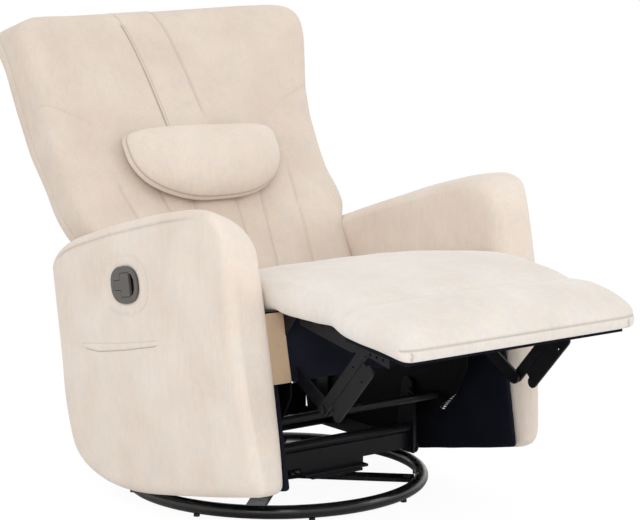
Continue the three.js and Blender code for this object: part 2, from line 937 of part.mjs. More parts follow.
// Hinge plates on the front rail that carry the footrest; their feet lie behind the cloth wraps
function addHingeBrackets() {
  const back = railFrontY - frontRailThick - gap;
  const outer = hingeBracketInner + sheet;
  const head = footBracketInner - gap;
  for (const [name, side] of bothSides) {
    const shape = outline([
      [back, hingeFootZs[0]],
      [back, hingeFootZs[1]],
      [hingeY + hingeEye, hingeZ + hingeEyeRise],
      ...circlePoints(hingeY, hingeZ, hingeEye, roundSides * half, quarterTurn, Math.PI),
    ]);
    const foot = ordered(side * (hingeBracketInner + overlap), side * (railOuter - hingeFootInset));
    const pieces = [
      plate(shape, side * hingeBracketInner, side * outer),
      block(foot, [back - sheet, back], hingeFootZs),
      rod(hingeStud, side * (hingeBracketInner + overlap), side * (head - overlap), hingeY, hingeZ),
      rod(hingeHead, side * head, side * (head - headThick), hingeY, hingeZ),
    ];
    place(levelParts, `hinge_bracket_${name}`, joined(...pieces), blackMetal);
  }
}

// Rear links down to the knees, and the torsion tube through the side plates that turns them together
function addRearLinks() {
  const outer = rearLinkInner + barPlate;
  const head = frontLinkInner + carriageThick + gap;
  for (const [name, side] of bothSides) {
    const shape = barShape([kneeY, kneeZ], [rearPivotY, rearPivotZ], rearLinkHalf);
    const bolt = [side * (outer - overlap), side * (outer + headThick)];
    const pieces = [
      plate(shape, side * rearLinkInner, side * outer),
      rod(headRadius, ...bolt, rearPivotY, rearPivotZ),
      rod(studRadius, side * (outer - overlap), side * (head + overlap), kneeY, kneeZ),
      rod(headRadius, side * head, side * (head + headThick), kneeY, kneeZ),
    ];
    place(levelParts, `rear_link_${name}`, joined(...pieces), blackMetal);
  }
  const reach = rearLinkInner - gap;
  const tube = rod(torsionRadius, -reach, reach, rearPivotY, rearPivotZ, tubeSides);
  place(levelParts, "cross_tube", tube, blackMetal);
}

// Front links: a long bar and a shorter one beside it, joined by a thin recessed web
function addFrontLinks() {
  const knee = new THREE.Vector2(kneeY, kneeZ);
  const along = new THREE.Vector2(tipY, tipZ).sub(knee);
  const length = along.length();
  along.normalize();
  const aside = new THREE.Vector2(-along.y, along.x);
  const at = (distance, sideways) =>
    knee.clone().addScaledVector(along, distance).addScaledVector(aside, sideways).toArray();
  const stayEnd = length - stayShort;
  const rivetAt = length - 3 * stayShort;
  const webX = frontLinkInner + overlap;
  for (const [name, side] of bothSides) {
    const bar = barShape(at(0, 0), at(length, 0), frontLinkHalf);
    holed(bar, kneeY, kneeZ, studRadius + holeClearance);
    holed(bar, ...at(rivetAt, 0), rivetRadius);
    const stay = barShape(at(stayLead, stayOffset), at(stayEnd, stayOffset), frontLinkHalf);
    holed(stay, ...at(rivetAt, stayOffset), rivetRadius);
    const near = frontLinkHalf - overlap;
    const far = stayOffset - frontLinkHalf + overlap;
    const corners = [[stayLead, near], [stayEnd, near], [stayEnd, far], [stayLead, far]];
    const web = outline(corners.map(([distance, sideways]) => at(distance, sideways)));
    const bars = [bar, stay].map((shape) =>
      plate(shape, side * frontLinkInner, side * (frontLinkInner + carriageThick)),
    );
    const inset = plate(web, side * webX, side * (webX + linkWebThick));
    place(levelParts, `front_link_${name}`, joined(...bars, inset), blackMetal);
  }
}

// Rounded outline of the handle's surround, in the Y-Z plane
function handleOutline(inset) {
  const flatShare = 0.93;
  const power = 0.8;
  const points = circlePoints(0, 0, 1, 2 * roundSides).map(([c, s]) => {
    const front = c < 0 ? flatShare : 1;
    const y = Math.sign(c) * Math.abs(c) ** power * (handleLong - inset) * front;
    const z = Math.sign(s) * Math.abs(s) ** power * (handleTall - inset);
    return [handleY + y, handleZ + z];
  });
  return outline(points);
}

function handleRecess() {
  const shape = handleOutline(surroundRim - 2 * gap);
  return plate(shape, -armOuter + cupDepth + recessEase, -armOuter - recessOver);
}

function paddleShape(grow) {
  const stemRear = handleY + stemReach + grow;
  const stem = stemHalf + grow;
  const headFront = handleY + headReach[0] - grow;
  const headRear = handleY + headReach[1] + grow;
  const head = headHalf + grow;
  return outline([
    [stemRear, handleZ - stem],
    [stemRear, handleZ + stem],
    [headRear, handleZ + stem],
    [headRear, handleZ + head],
    [headFront, handleZ + head],
    [headFront, handleZ - head],
    [headRear, handleZ - head],
    [headRear, handleZ - stem],
  ]);
}

function addHandle() {
  const face = -armOuter - gap;
  const rimOuter = face - surroundThick;
  const rim = plate(handleOutline(0), face, rimOuter);
  const cup = plate(handleOutline(surroundRim), -armOuter + cupDepth, face - overlap);
  const pocketFloor = -armOuter + cupDepth - sheet;
  const pocket = plate(paddleShape(overlap), pocketFloor, rimOuter - overlap);
  const fingers = plate(
    outline(fingerOutline.map(([y, z]) => [handleY + y, handleZ + z])),
    pocketFloor,
    rimOuter - overlap,
  );
  const surround = cutFrom(joined(rim, cup), pocket, fingers);
  place(levelParts, "handle_surround", surround, darkPlastic);
  const paddle = plate(paddleShape(0), rimOuter + barPlate, rimOuter);
  place(levelParts, "handle_paddle", paddle, darkPlastic);
}

// Hemmed edge of the pocket on the left arm's outer side
function addPocketBand() {
  const face = -armOuter - gap;
  const band = plate(outline(pocketOutline), face, face - clothThick);
  place(levelParts, "pocket_band", band, fabric);
}

// Backrest frame: across, up along the back and rearward through it
function fromBackFrame(point) {
  const along = point.z;
  const through = point.y;
  point.y = backFootY + along * Math.sin(lean) + through * Math.cos(lean);
  point.z = backFootZ + along * Math.cos(lean) - through * Math.sin(lean);
}

const outwardShare = (x) => smooth(Math.abs(x), wingInner, backTopHalf) ** wingPower;

function backSurface(x, along) {
  return readCurve(wingRows, along) * outwardShare(x) + readCurve(crestRows, along);
}

function halfWidthAt(along) {
  const straight = readCurve(backHalfRows, along);
  const over = Math.max(0, along - (backTop - backCorner));
  const drop = backCorner - Math.sqrt(Math.max(0, backCorner ** 2 - over ** 2));
  return straight - drop;
}

// Stations drawn for the narrow lower back, spread to the full width of the grid
const widened = (x) => (x * backHalf) / backLowHalf;

function backForm(grooved) {
  return (point) => {
    const across = point.x / backHalf;
    const along = point.z;
    const rearward = (backFlare * Math.max(0, point.y)) / backPad;
    point.x = across * (halfWidthAt(along) + rearward * smooth(along, wingStart, backTop));
    if (grooved) {
      const front = 1 - smooth(point.y, 0, backPad * half);
      const low = 1 - smooth(along, channelTop - channelFade, channelTop);
      for (const x of channelXs) {
        const near = Math.max(0, 1 - Math.abs(point.x - x) / channelHalf);
        point.y += channelDepth * near * front * low;
      }
    }
    point.y += backSurface(point.x, along);
    point.z -= wingDrop * outwardShare(point.x) * smooth(along, wingDropStart, backTop);
    fromBackFrame(point);
  };
}

function addBackrest() {
  const crowns = channelXs.slice(1).map((x, i) => (x + channelXs[i]) * half);
  const inner = [...channelXs, ...crowns].sort((a, b) => a - b);
  const margin = channelXs[0] * sideStationShare;
  const xs = edgeStations(-backHalf, backHalf, backEdge, 3, [margin, ...inner, -margin].map(widened));
  const ys = edgeStations(0, backPad, backEdge, 2, [backPad * half]);
  const zs = edgeStations(backLow, backTop, backEdge, 3, backZs);
  place(levelParts, "back_cushion", cushion(xs, ys, zs, backEdge, backForm(true)), fabric);

  const shellLow = backPad + backSeam;
  const shellYs = [shellLow, shellLow + backShell * half, shellLow + backShell];
  const shell = cushion(xs, shellYs, zs, backShell * half - overlap, backForm(false));
  place(levelParts, "back_shell", shell, fabric);

  const bracketInner = sidePlateInner + sheet + gap;
  const rearFace = backPad + backSeam + backShell + backSurface(bracketInner, 0);
  const onBack = (along, through) => {
    const point = new THREE.Vector3(0, rearFace + through, along);
    fromBackFrame(point);
    return [point.y, point.z];
  };
  const eye = circlePoints(backHingeY, backHingeZ, backBracketEye, roundSides * half, Math.PI, Math.PI);
  for (const [name, side] of bothSides) {
    const shape = outline([
      ...eye,
      onBack(...backBracketLow),
      onBack(...backBracketHigh),
      onBack(backBracketHigh[0], backBracketSeat),
      onBack(backBracketFoot, backBracketSeat),
    ]);
    holed(shape, backHingeY, backHingeZ, pitchStud + holeClearance);
    const bracket = plate(shape, side * bracketInner, side * (bracketInner + sheet));
    place(levelParts, `back_bracket_${name}`, bracket, blackMetal);
  }
}

// Strap over the crest of the back that carries the pillow
function addStrap() {
  const face = 3 * gap;
  const rear = backPad + backSeam + backShell + face;
  const front = -face;
  const crest = backTop + face;
  const side = (grow) => [
    [front - grow, strapLow],
    ...backZs.filter((along) => along > strapLow).map((along) => [front - grow, along]),
    ...turnShares.map((share) => {
      const angle = quarterTurn * share;
      const reach = backEdge + grow;
      return [front + backEdge - reach * Math.cos(angle), crest - backEdge + reach * Math.sin(angle)];
    }),
    [rear - strapRearTurn, crest + grow],
    [rear + grow, crest - strapRearTurn],
    [rear + grow, crest - strapRearDrop],
  ];
  const shape = outline([...side(0), ...side(strapThick).reverse()].map(([through, along]) => {
    const point = new THREE.Vector3(0, through + backSurface(0, along), along);
    fromBackFrame(point);
    return [point.y, point.z];
  }));
  place(levelParts, "pillow_strap", plate(shape, -strapHalf, strapHalf), fabric);
}

// Pillow: flatter back, domed front, a straighter top edge and a rounder lower edge
function addPillow() {
  const back = -strapThick - overlap;
  const ball = new THREE.SphereGeometry(1, ...pillowSteps).rotateX(quarterTurn);
  const position = ball.attributes.position;
  const point = new THREE.Vector3();
  const squareShare = 0.72;
  const taperShare = 0.16;
  const backShare = 0.25;
  for (let i = 0; i < position.count; i += 1) {
    point.fromBufferAttribute(position, i);
    const rim = Math.hypot(point.x, point.z);
    const narrow = 1 - taperShare * Math.max(0, -point.z);
    const x = Math.sign(point.x) * Math.abs(point.x) ** squareShare * narrow;
    const z = Math.sign(point.z) * Math.abs(point.z) ** squareShare;
    const depth = point.y > 0 ? backShare : 1 - backShare;
    const bulge = rim < 1 ? point.y * pillowThick * depth : 0;
    const through = back - pillowThick * backShare + bulge;
    point.set(x * pillowHalf, through, pillowMiddle + z * pillowTall * half);
    fromBackFrame(point);
    position.setXYZ(i, point.x, point.y, point.z);
  }
  place(levelParts, "pillow", ball, fabric);
}

// Height under the ottoman pad at a distance forward, less a drop
function underOttoman(y, drop) {
  const slope = (ottomanRearLow - ottomanFrontLow) / (ottomanRear - ottomanFront);
  return [y, ottomanRearLow - (ottomanRear - y) * slope - gap - drop];
}

// Footrest pads and the board under the ottoman
function addFootrestPads() {
  const columns = insetStations(-padHalf, padHalf, padStationInset, padStationSteps);
  const xs = edgeStations(-padHalf, padHalf, bridgeEdge, 2, columns);
  const bridgeRows = insetStations(bridgeFront, bridgeRear, bridgeRowInset, bridgeRowSteps);
  const bridgeYs = edgeStations(bridgeFront, bridgeRear, bridgeEdge, 2, bridgeRows);
  const bridgeZs = edgeStations(bridgeLow, bridgeTop, bridgeEdge, 2, [(bridgeLow + bridgeTop) * half]);
  const bridgeMiddle = (bridgeFront + bridgeRear) * half;
  const bridgeWideShare = 1.1;
  const bridge = cushion(xs, bridgeYs, bridgeZs, bridgeEdge, (point) => {
    const up = smooth(point.z, bridgeLow, bridgeTop);
    const wide = dome(point.x, 0, padHalf * bridgeWideShare);
    point.z += bridgeCrown * up * wide * dome(point.y, bridgeMiddle, bridgeReach);
  });
  const slots = hingeSlots(...tipped(hingeY, hingeZ), bridgeSlot);
  place(root, "bridge_pad", cutFrom(bridge, ...slots), seatFabric);

  const rows = insetStations(ottomanFront, ottomanRear, ottomanRowInset, ottomanRowSteps);
  const ys = edgeStations(ottomanFront, ottomanRear, ottomanEdge, 3, rows);
  const middleZ = (ottomanRearLow + ottomanRearTop) * half;
  const zs = edgeStations(ottomanRearLow, ottomanRearTop, ottomanEdge, 2, [middleZ]);
  const middle = (ottomanFront + ottomanRear) * half;
  const ottomanWideShare = 1.6;
  const pad = cushion(xs, ys, zs, ottomanEdge, (point) => {
    const share = (point.z - ottomanRearLow) / (ottomanRearTop - ottomanRearLow);
    const forward = (ottomanRear - point.y) / (ottomanRear - ottomanFront);
    const low = ottomanRearLow + (ottomanFrontLow - ottomanRearLow) * forward;
    const high = ottomanRearTop + (ottomanFrontTop - ottomanRearTop) * forward;
    const wide = dome(point.x, 0, padHalf * ottomanWideShare);
    const crown = ottomanCrown * smooth(share, 0, 1) * wide * dome(point.y, middle, ottomanReach);
    point.z = low + (high - low) * share + crown;
  });
  place(root, "ottoman_pad", pad, seatFabric);

  const rear = ottomanRear - boardRearInset;
  const front = ottomanFront + boardFrontInset;
  const board = outline([
    underOttoman(front, 0),
    underOttoman(front, boardThick),
    underOttoman(rear, boardThick),
    underOttoman(rear, 0),
  ]);
  place(root, "ottoman_board", plate(board, -boardHalf, boardHalf), lining);
}

// Hole-punched side strips of the footrest, from the hinge to the pivots of the front links
function addFootrestBrackets() {
  const [hy, hz] = tipped(hingeY, hingeZ);
  const [ty, tz] = tipped(tipY, tipZ);
  const padUnder = bridgeLow - gap;
  const rear = ottomanRear - boardRearInset;
  const stripLow = boardThick + stripDeep;
  for (const [name, side] of bothSides) {
    const shape = outline([
      ...circlePoints(hy, hz, hingeEye, roundSides * half, 0, Math.PI / 1.2),
      [hy - hingeEye, padUnder],
      [bridgeFront + stripInset, padUnder],
      underOttoman(rear, boardThick + gap),
      underOttoman(stripFront, boardThick + gap),
      underOttoman(stripFront, stripLow),
      ...circlePoints(ty, tz, tipEye, roundSides * half, Math.PI * 1.05, Math.PI * 0.9),
      underOttoman(rear, stripLow),
      [hy + overlap, padUnder - stripDeep],
    ]);
    holed(shape, hy, hz, hingeBore);
    for (const y of spaced(...bridgeHoles)) holed(shape, y, padUnder - stripDeep * half, stripHole);
    for (const share of [0, half, 1]) {
      const inset = THREE.MathUtils.lerp(...ottomanHoleInsets, share);
      const hole = underOttoman(stripFront + inset, boardThick + stripDeep * half);
      holed(shape, ...hole, stripHole);
    }
    const inner = footBracketInner;
    const ledge = ordered(side * (inner + overlap), side * (inner + ledgeWide));
    const pieces = [
      plate(shape, side * inner, side * (inner + sheet)),
      block(ledge, [bridgeFront + ledgeInset, hy - ledgeBack], [padUnder - sheet, padUnder]),
    ];
    place(root, `footrest_bracket_${name}`, joined(...pieces), blackMetal);
  }
}

// A level point as it stands once the seat unit is tipped back
function tipped(y, z) {
  const dy = y - pitchY;
  const dz = z - pitchZ;
  return [
    pitchY + dy * Math.cos(tilt) + dz * Math.sin(tilt),
    pitchZ - dy * Math.sin(tilt) + dz * Math.cos(tilt),
  ];
}

addBase();
addTurntable();
addGlideLinks();
addCarriage();
addSidePlates();
addSeatBox();
addSeatSprings();
addSeatCushion();
addArms();
addArmLinings();
addLiftSpring();
addHingeBrackets();
addRearLinks();
addFrontLinks();
addHandle();
addPocketBand();
addBackrest();
addStrap();
addPillow();
addFootrestPads();
addFootrestBrackets();

levelParts.position.set(0, -pitchY, -pitchZ);
const tippedParts = new THREE.Group();
tippedParts.name = "tipped_parts";
tippedParts.add(levelParts);
tippedParts.rotation.x = -tilt;
tippedParts.position.set(0, pitchY, pitchZ);
root.add(tippedParts);

// The origin goes to the middle of the footprint, on the floor
root.updateMatrixWorld(true);
const bounds = new THREE.Box3().setFromObject(root, true);
const middle = bounds.getCenter(new THREE.Vector3());
root.position.set(-middle.x, -middle.y, -bounds.min.z);
root.updateMatrixWorld(true);

export default root;
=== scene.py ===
# %% [markdown]
# A swivel glider recliner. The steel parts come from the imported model, and only the tube of the
# base ring is made anew. Everything soft is made here: each cushion starts as a box cut into a
# grid, its points are moved to the shape of the real pad, and seams and creases are pressed in
# last. The strap, the hem and the pillow start from a strip or a sphere, which suit them better.

from math import cos, pi, radians, sin

import bmesh
import bpy
import numpy as np
from mathutils import Matrix, Vector, noise


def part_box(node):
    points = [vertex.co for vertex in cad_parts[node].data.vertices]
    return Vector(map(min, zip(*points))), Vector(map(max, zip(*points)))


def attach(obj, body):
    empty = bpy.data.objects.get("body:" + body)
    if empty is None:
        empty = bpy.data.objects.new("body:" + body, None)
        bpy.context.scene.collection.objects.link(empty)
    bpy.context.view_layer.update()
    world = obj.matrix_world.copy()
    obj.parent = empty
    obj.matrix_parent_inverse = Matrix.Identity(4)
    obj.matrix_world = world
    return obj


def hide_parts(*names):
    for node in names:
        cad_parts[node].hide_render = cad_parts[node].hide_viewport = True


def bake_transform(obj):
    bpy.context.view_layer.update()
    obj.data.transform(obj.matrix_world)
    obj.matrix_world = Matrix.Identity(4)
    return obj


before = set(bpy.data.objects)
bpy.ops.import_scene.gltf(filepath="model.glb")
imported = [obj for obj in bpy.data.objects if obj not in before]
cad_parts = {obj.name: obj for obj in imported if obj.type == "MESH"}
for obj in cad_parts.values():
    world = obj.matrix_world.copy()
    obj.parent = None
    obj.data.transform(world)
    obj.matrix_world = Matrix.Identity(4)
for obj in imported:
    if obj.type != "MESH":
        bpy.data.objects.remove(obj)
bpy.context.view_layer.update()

# %% [markdown]
# The seat unit stands tipped back on its pitch pivot, and the backrest leans in the seat unit.
# Upholstery is easiest to draw level, so two matrices carry drawn points to the room: one for
# the level seat unit and one for the backrest, whose axes are across, through and along it.

# %% Frames that the pieces are drawn in
ring_low, ring_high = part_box("base_ring")
swivel_x = (ring_low[0] + ring_high[0]) / 2
swivel_y = (ring_low[1] + ring_high[1]) / 2
tilt = radians(10.5)
lean = radians(24)
pitch_pivot = Vector((0, -0.160, 0.210))
back_foot = (0, 0.060, 0.430)
ring_radius, ring_tube, ring_height = 0.286, 0.013, 0.028
ring_middle = (ring_low[2] + ring_high[2]) / 2
foot_drop = ring_middle - ring_height

to_floor = Matrix.Translation((swivel_x, swivel_y, foot_drop))
to_level = (
    to_floor
    @ Matrix.Translation(pitch_pivot)
    @ Matrix.Rotation(-tilt, 4, "X")
    @ Matrix.Translation(-pitch_pivot)
)
to_back = to_level @ Matrix.Translation(back_foot) @ Matrix.Rotation(-lean, 4, "X")
print("swivel axis at", round(swivel_x, 4), round(swivel_y, 4), "drop", round(foot_drop, 4))

# %% [markdown]
# Soft forms are drawn with a few plain functions of place: a step that starts and ends gently, a
# dome, a line through chosen points and a narrow crease. They work on all points at once, which
# is much faster than a loop, and each form can be read as a sum of such parts.


# %% Lines and swellings
def moved(points, matrix):
    turn = np.array(matrix.to_3x3())
    return points @ turn.T + np.array(matrix.translation)


def smooth(value, low, high):
    """0 up to low, 1 from high on, and a gentle rise between them."""
    share = np.clip((value - low) / (high - low), 0, 1)
    return share * share * (3 - 2 * share)


def dome(value, middle, reach):
    """1 in the middle, falling to 0 at reach to each side."""
    return np.clip(1 - ((value - middle) / reach) ** 2, 0, 1)


def curve(rows, where):
    """The line through rows of (place, height), read at any place."""
    at, values = zip(*rows)
    return np.interp(where, at, values)


def crease(gap, width):
    """1 on a seam, falling to 0 within about two widths of it."""
    return np.exp(-((gap / width) ** 2))


swell_steps = (7.3, 1.9, 4.1)


def swell(points, size, seed, amount):
    """Slow, soft waves over a padded surface, the same at every run."""
    shift = Vector([seed * step for step in swell_steps])
    waves = [noise.noise(Vector(p) / size + shift) for p in points]
    return np.array(waves) * amount


def from_line(points, line):
    """Distance of each point from a line of joined points."""
    line = np.asarray(line, dtype=float)
    best = np.full(len(points), np.inf)
    for start, end in zip(line[:-1], line[1:]):
        along = end - start
        share = np.clip(((points - start) @ along) / (along @ along), 0, 1)
        gap = np.linalg.norm(points - start - share[:, None] * along, axis=1)
        best = np.minimum(best, gap)
    return best


# %% [markdown]
# The camera comes first, because all shapes are judged through it. A long lens from well back
# and a little above the arms gives the photograph's flat perspective. A short lens from close by
# would frame the chair too, but it would make the footrest look too large.

# %% Camera
camera_place = (-2.9186, -4.02474, 1.32866)
camera_down, camera_round = 9.974, -36.94
camera_data = bpy.data.cameras.new("view")
camera_data.sensor_width = 36
camera_data.lens = 146.25
camera = bpy.data.objects.new("view", camera_data)
camera.location = (
    swivel_x + camera_place[0],
    swivel_y + camera_place[1],
    foot_drop + camera_place[2],
)
camera.rotation_euler = (radians(90 - camera_down), 0, radians(camera_round))
bpy.context.scene.collection.objects.link(camera)
bpy.context.scene.camera = camera
bpy.context.scene.view_settings.view_transform = "Standard"
print("camera stands at", [round(value, 3) for value in camera.location])

# %% [markdown]
# Grid boxes. A cube is cut along each axis, its corners are rounded by pulling every point to a
# fixed distance from an inner box, and then a form moves the points. Bevels would round the
# corners too, but they leave uneven faces, and cloth needs even ones. Extra cuts at a seam keep
# its crease narrow when the surface is refined.

# %% Soft box helpers
weld = 1e-5
flat_edge = 0.001


def grid_box(low, high, cuts, seams=()):
    """A bmesh box cut into a grid, with extra cuts on each (axis, place) in seams."""
    bm = bmesh.new()
    bmesh.ops.create_cube(bm, size=2)
    for axis, count in enumerate(cuts):
        across = []
        for edge in bm.edges:
            start, end = edge.verts
            if abs(start.co[axis] - end.co[axis]) > flat_edge:
                across.append(edge)
        bmesh.ops.subdivide_edges(bm, edges=across, cuts=count, use_grid_fill=True)
    low, high = Vector(low), Vector(high)
    size = (high - low) / 2
    bmesh.ops.scale(bm, verts=bm.verts, vec=size)
    bmesh.ops.translate(bm, verts=bm.verts, vec=(low + high) / 2)
    for axis, place in seams:
        normal = Vector((0, 0, 0))
        normal[axis] = 1
        geometry = bm.verts[:] + bm.edges[:] + bm.faces[:]
        bmesh.ops.bisect_plane(
            bm, geom=geometry, plane_co=normal * place, plane_no=normal, dist=weld
        )
    return bm


def rounded(points, low, high, radius):
    core = np.clip(points, np.array(low) + radius, np.array(high) - radius)
    away = points - core
    return core + away / np.linalg.norm(away, axis=1, keepdims=True) * radius


def points_of(mesh):
    points = np.empty(len(mesh.vertices) * 3)
    mesh.vertices.foreach_get("co", points)
    return points.reshape(-1, 3)


def put_points(mesh, points):
    mesh.vertices.foreach_set("co", np.asarray(points).ravel())
    mesh.update()


def normals_of(mesh):
    mesh.update()
    normals = np.empty(len(mesh.vertices) * 3)
    mesh.vertex_normals.foreach_get("vector", normals)
    return normals.reshape(-1, 3)


def raised(points, normals, amount):
    """Moves each point out along its normal, or in where the amount is negative."""
    return points + normals * amount[:, None]


# %% [markdown]
# A bmesh becomes an object, is refined once its form is right, and is dressed last. Refining is
# baked into the mesh, because the seams are pressed into the fine surface and marked on it for
# the cloth to read. The solids that a cover stands for are named when it is dressed.


# %% From a bmesh to a dressed piece
def link(name, bm):
    mesh = bpy.data.meshes.new(name)
    bm.to_mesh(mesh)
    bm.free()
    obj = bpy.data.objects.new(name, mesh)
    bpy.context.scene.collection.objects.link(obj)
    return obj


def refine(obj, levels):
    """Subdivides the surface and keeps the result as the object's mesh."""
    modifier = obj.modifiers.new("refine", "SUBSURF")
    modifier.levels = levels
    modifier.render_levels = levels
    bpy.context.view_layer.update()
    finished = obj.evaluated_get(bpy.context.evaluated_depsgraph_get())
    mesh = bpy.data.meshes.new_from_object(finished)
    obj.modifiers.clear()
    obj.data = mesh
    return mesh


def mark(mesh, name, values):
    layer = mesh.attributes.new(name, "FLOAT", "POINT")
    layer.data.foreach_set("value", np.asarray(values, dtype=np.float32))


def dress(obj, body, material, nodes=()):
    """Gives a finished piece its cloth and its body, and hides the solids that it stands for."""
    obj.data.materials.clear()
    obj.data.materials.append(material)
    obj.data.polygons.foreach_set("use_smooth", [True] * len(obj.data.polygons))
    if body:
        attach(obj, body)
    if nodes:
        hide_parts(*nodes)
    print(obj.name, len(obj.data.polygons), "faces")


# %% [markdown]
# Every finish is a small tree of nodes. A few helpers add a node, feed its sockets and hand back
# its output, so that each finish below reads like a recipe.


# %% Helpers for finishes
def node_of(tree, kind, **inputs):
    node = tree.nodes.new(kind)
    for name, value in inputs.items():
        node.inputs[name.replace("_", " ")].default_value = value
    return node


def feed(tree, value, socket):
    """Links another node's output to a socket, or sets the socket to a plain value."""
    if isinstance(value, bpy.types.NodeSocket):
        tree.links.new(value, socket)
    else:
        socket.default_value = value


def noise_of(tree, vector, scale, detail, rough=0.5):
    node = node_of(tree, "ShaderNodeTexNoise", Scale=scale, Detail=detail, Roughness=rough)
    tree.links.new(vector, node.inputs["Vector"])
    return node.outputs["Fac"]


def mapped(tree, source, scale, rotation=(0, 0, 0)):
    node = node_of(tree, "ShaderNodeMapping", Scale=scale, Rotation=rotation)
    tree.links.new(source, node.inputs["Vector"])
    return node.outputs["Vector"]


def mixed(tree, share, first, second, blend="MIX"):
    node = tree.nodes.new("ShaderNodeMix")
    node.data_type = "RGBA"
    node.blend_type = blend
    feed(tree, share, node.inputs[0])
    feed(tree, first, node.inputs[6])
    feed(tree, second, node.inputs[7])
    return node.outputs[2]


def ranged(tree, value, low, high, new_low=0.0, new_high=1.0):
    node = tree.nodes.new("ShaderNodeMapRange")
    for socket, number in zip(node.inputs[1:5], (low, high, new_low, new_high)):
        socket.default_value = number
    tree.links.new(value, node.inputs[0])
    return node.outputs[0]


def combined(tree, operation, first, second):
    node = tree.nodes.new("ShaderNodeMath")
    node.operation = operation
    feed(tree, first, node.inputs[0])
    feed(tree, second, node.inputs[1])
    return node.outputs[0]


def empty_material(name):
    material = bpy.data.materials.new(name)
    material.use_nodes = True
    tree = material.node_tree
    shader = tree.nodes["Principled BSDF"]
    return material, tree, shader


def bumped(tree, shader, height, strength, distance):
    bump = node_of(tree, "ShaderNodeBump", Strength=strength, Distance=distance)
    tree.links.new(height, bump.inputs["Height"])
    tree.links.new(bump.outputs["Normal"], shader.inputs["Normal"])


# %% [markdown]
# Chenille is a pile of short tufts that lie along the cloth, so it shows fine streaks along the
# nap, slow patches where the pile lies another way, cooler spots and a soft sheen. A picture of
# cloth would repeat over such large panels. The streaks are stretched noise on object
# coordinates, turned to run up each panel. A point attribute darkens the cloth toward a brown:
# painted shade along seams, stitches, hems and folds and in the seat's valley, and a painted
# shadow along the strap's edges.

# %% Chenille
white = (1, 1, 1, 1)
nap_shade = (0.9, 0.885, 0.865, 1)
cool_shade = (0.925, 0.95, 0.975, 1)
slub_shade = (0.94, 0.925, 0.9, 1)
seam_shade_brown = (0.33, 0.255, 0.19, 1)
up_the_chair = (tilt, 0, 0)
up_the_back = (tilt + lean, 0, 0)
along_the_seat = (radians(80), 0, 0)


def chenille(name, pale, deep, nap_turn):
    material, tree, shader = empty_material(name)
    place = tree.nodes.new("ShaderNodeTexCoord").outputs["Object"]
    patches = noise_of(tree, place, scale=9.0, detail=3.0)
    mottle = noise_of(tree, place, scale=36.0, detail=4.0, rough=0.6)
    along_nap = mapped(tree, place, (1, 1, 0.09), nap_turn)
    nap = noise_of(tree, along_nap, scale=330.0, detail=2.0, rough=0.6)
    along_yarn = mapped(tree, place, (1, 1, 0.22), nap_turn)
    slubs = noise_of(tree, along_yarn, scale=95.0, detail=2.0)
    tufts = noise_of(tree, place, scale=1400.0, detail=1.0)

    cloth = mixed(tree, ranged(tree, patches, low=0.35, high=0.68), deep, pale)
    streak = mixed(tree, ranged(tree, nap, low=0.36, high=0.66), nap_shade, white)
    cloth = mixed(tree, 0.38, cloth, streak, "MULTIPLY")
    cool = mixed(tree, ranged(tree, mottle, low=0.40, high=0.64), white, cool_shade)
    cloth = mixed(tree, 0.85, cloth, cool, "MULTIPLY")
    slub = mixed(tree, ranged(tree, slubs, low=0.42, high=0.72), white, slub_shade)
    cloth = mixed(tree, 0.35, cloth, slub, "MULTIPLY")
    # Painted shade: a point attribute darkens seams, stitches, hems, folds and the seat's valley
    # toward a brown.
    seam_and_shade = tree.nodes.new("ShaderNodeAttribute")
    seam_and_shade.attribute_name = "seam_and_shade"
    cloth = mixed(tree, seam_and_shade.outputs["Fac"], cloth, seam_shade_brown)
    tree.links.new(cloth, shader.inputs["Base Color"])

    shader.inputs["Roughness"].default_value = 0.92
    shader.inputs["Sheen Weight"].default_value = 0.25
    shader.inputs["Sheen Roughness"].default_value = 0.5
    nap_height = combined(tree, "MULTIPLY", nap, 0.8)
    tuft_height = combined(tree, "MULTIPLY", tufts, 0.5)
    height = combined(tree, "ADD", nap_height, tuft_height)
    bumped(tree, shader, height, strength=0.35, distance=0.0012)
    print(name)
    return material


arm_cloth = chenille(
    "arm_chenille",
    pale=(0.835, 0.74, 0.655, 1),
    deep=(0.775, 0.665, 0.57, 1),
    nap_turn=up_the_chair,
)
# Painted shade: the arms' cream chenille, darkened for the rail wraps.
shaded_wrap_cloth = chenille(
    "wrap_chenille_shaded",
    pale=(0.52, 0.37, 0.235, 1),
    deep=(0.46, 0.32, 0.20, 1),
    nap_turn=up_the_chair,
)
# Painted shade: the backrest and its strap get a darker copy of the arms' cream chenille.
shaded_back_cloth = chenille(
    "back_chenille_shaded",
    pale=(0.742, 0.645, 0.552, 1),
    deep=(0.69, 0.58, 0.487, 1),
    nap_turn=up_the_back,
)
# Painted shade: the pillow gets a darker copy of the arms' cream chenille.
shaded_pillow_cloth = chenille(
    "pillow_chenille_shaded",
    pale=(0.80, 0.705, 0.615, 1),
    deep=(0.75, 0.645, 0.55, 1),
    nap_turn=up_the_back,
)
seat_cloth = chenille(
    "seat_chenille",
    pale=(0.80, 0.74, 0.685, 1),
    deep=(0.75, 0.68, 0.61, 1),
    nap_turn=along_the_seat,
)

# %% [markdown]
# The inside of the arms, the front of the seat box and the board under the ottoman are covered
# with a thin, almost black cloth. Its threads are too fine to be seen one by one, so very fine
# stretched noise is enough for its bump, and a little grey dust keeps it from looking like a hole.


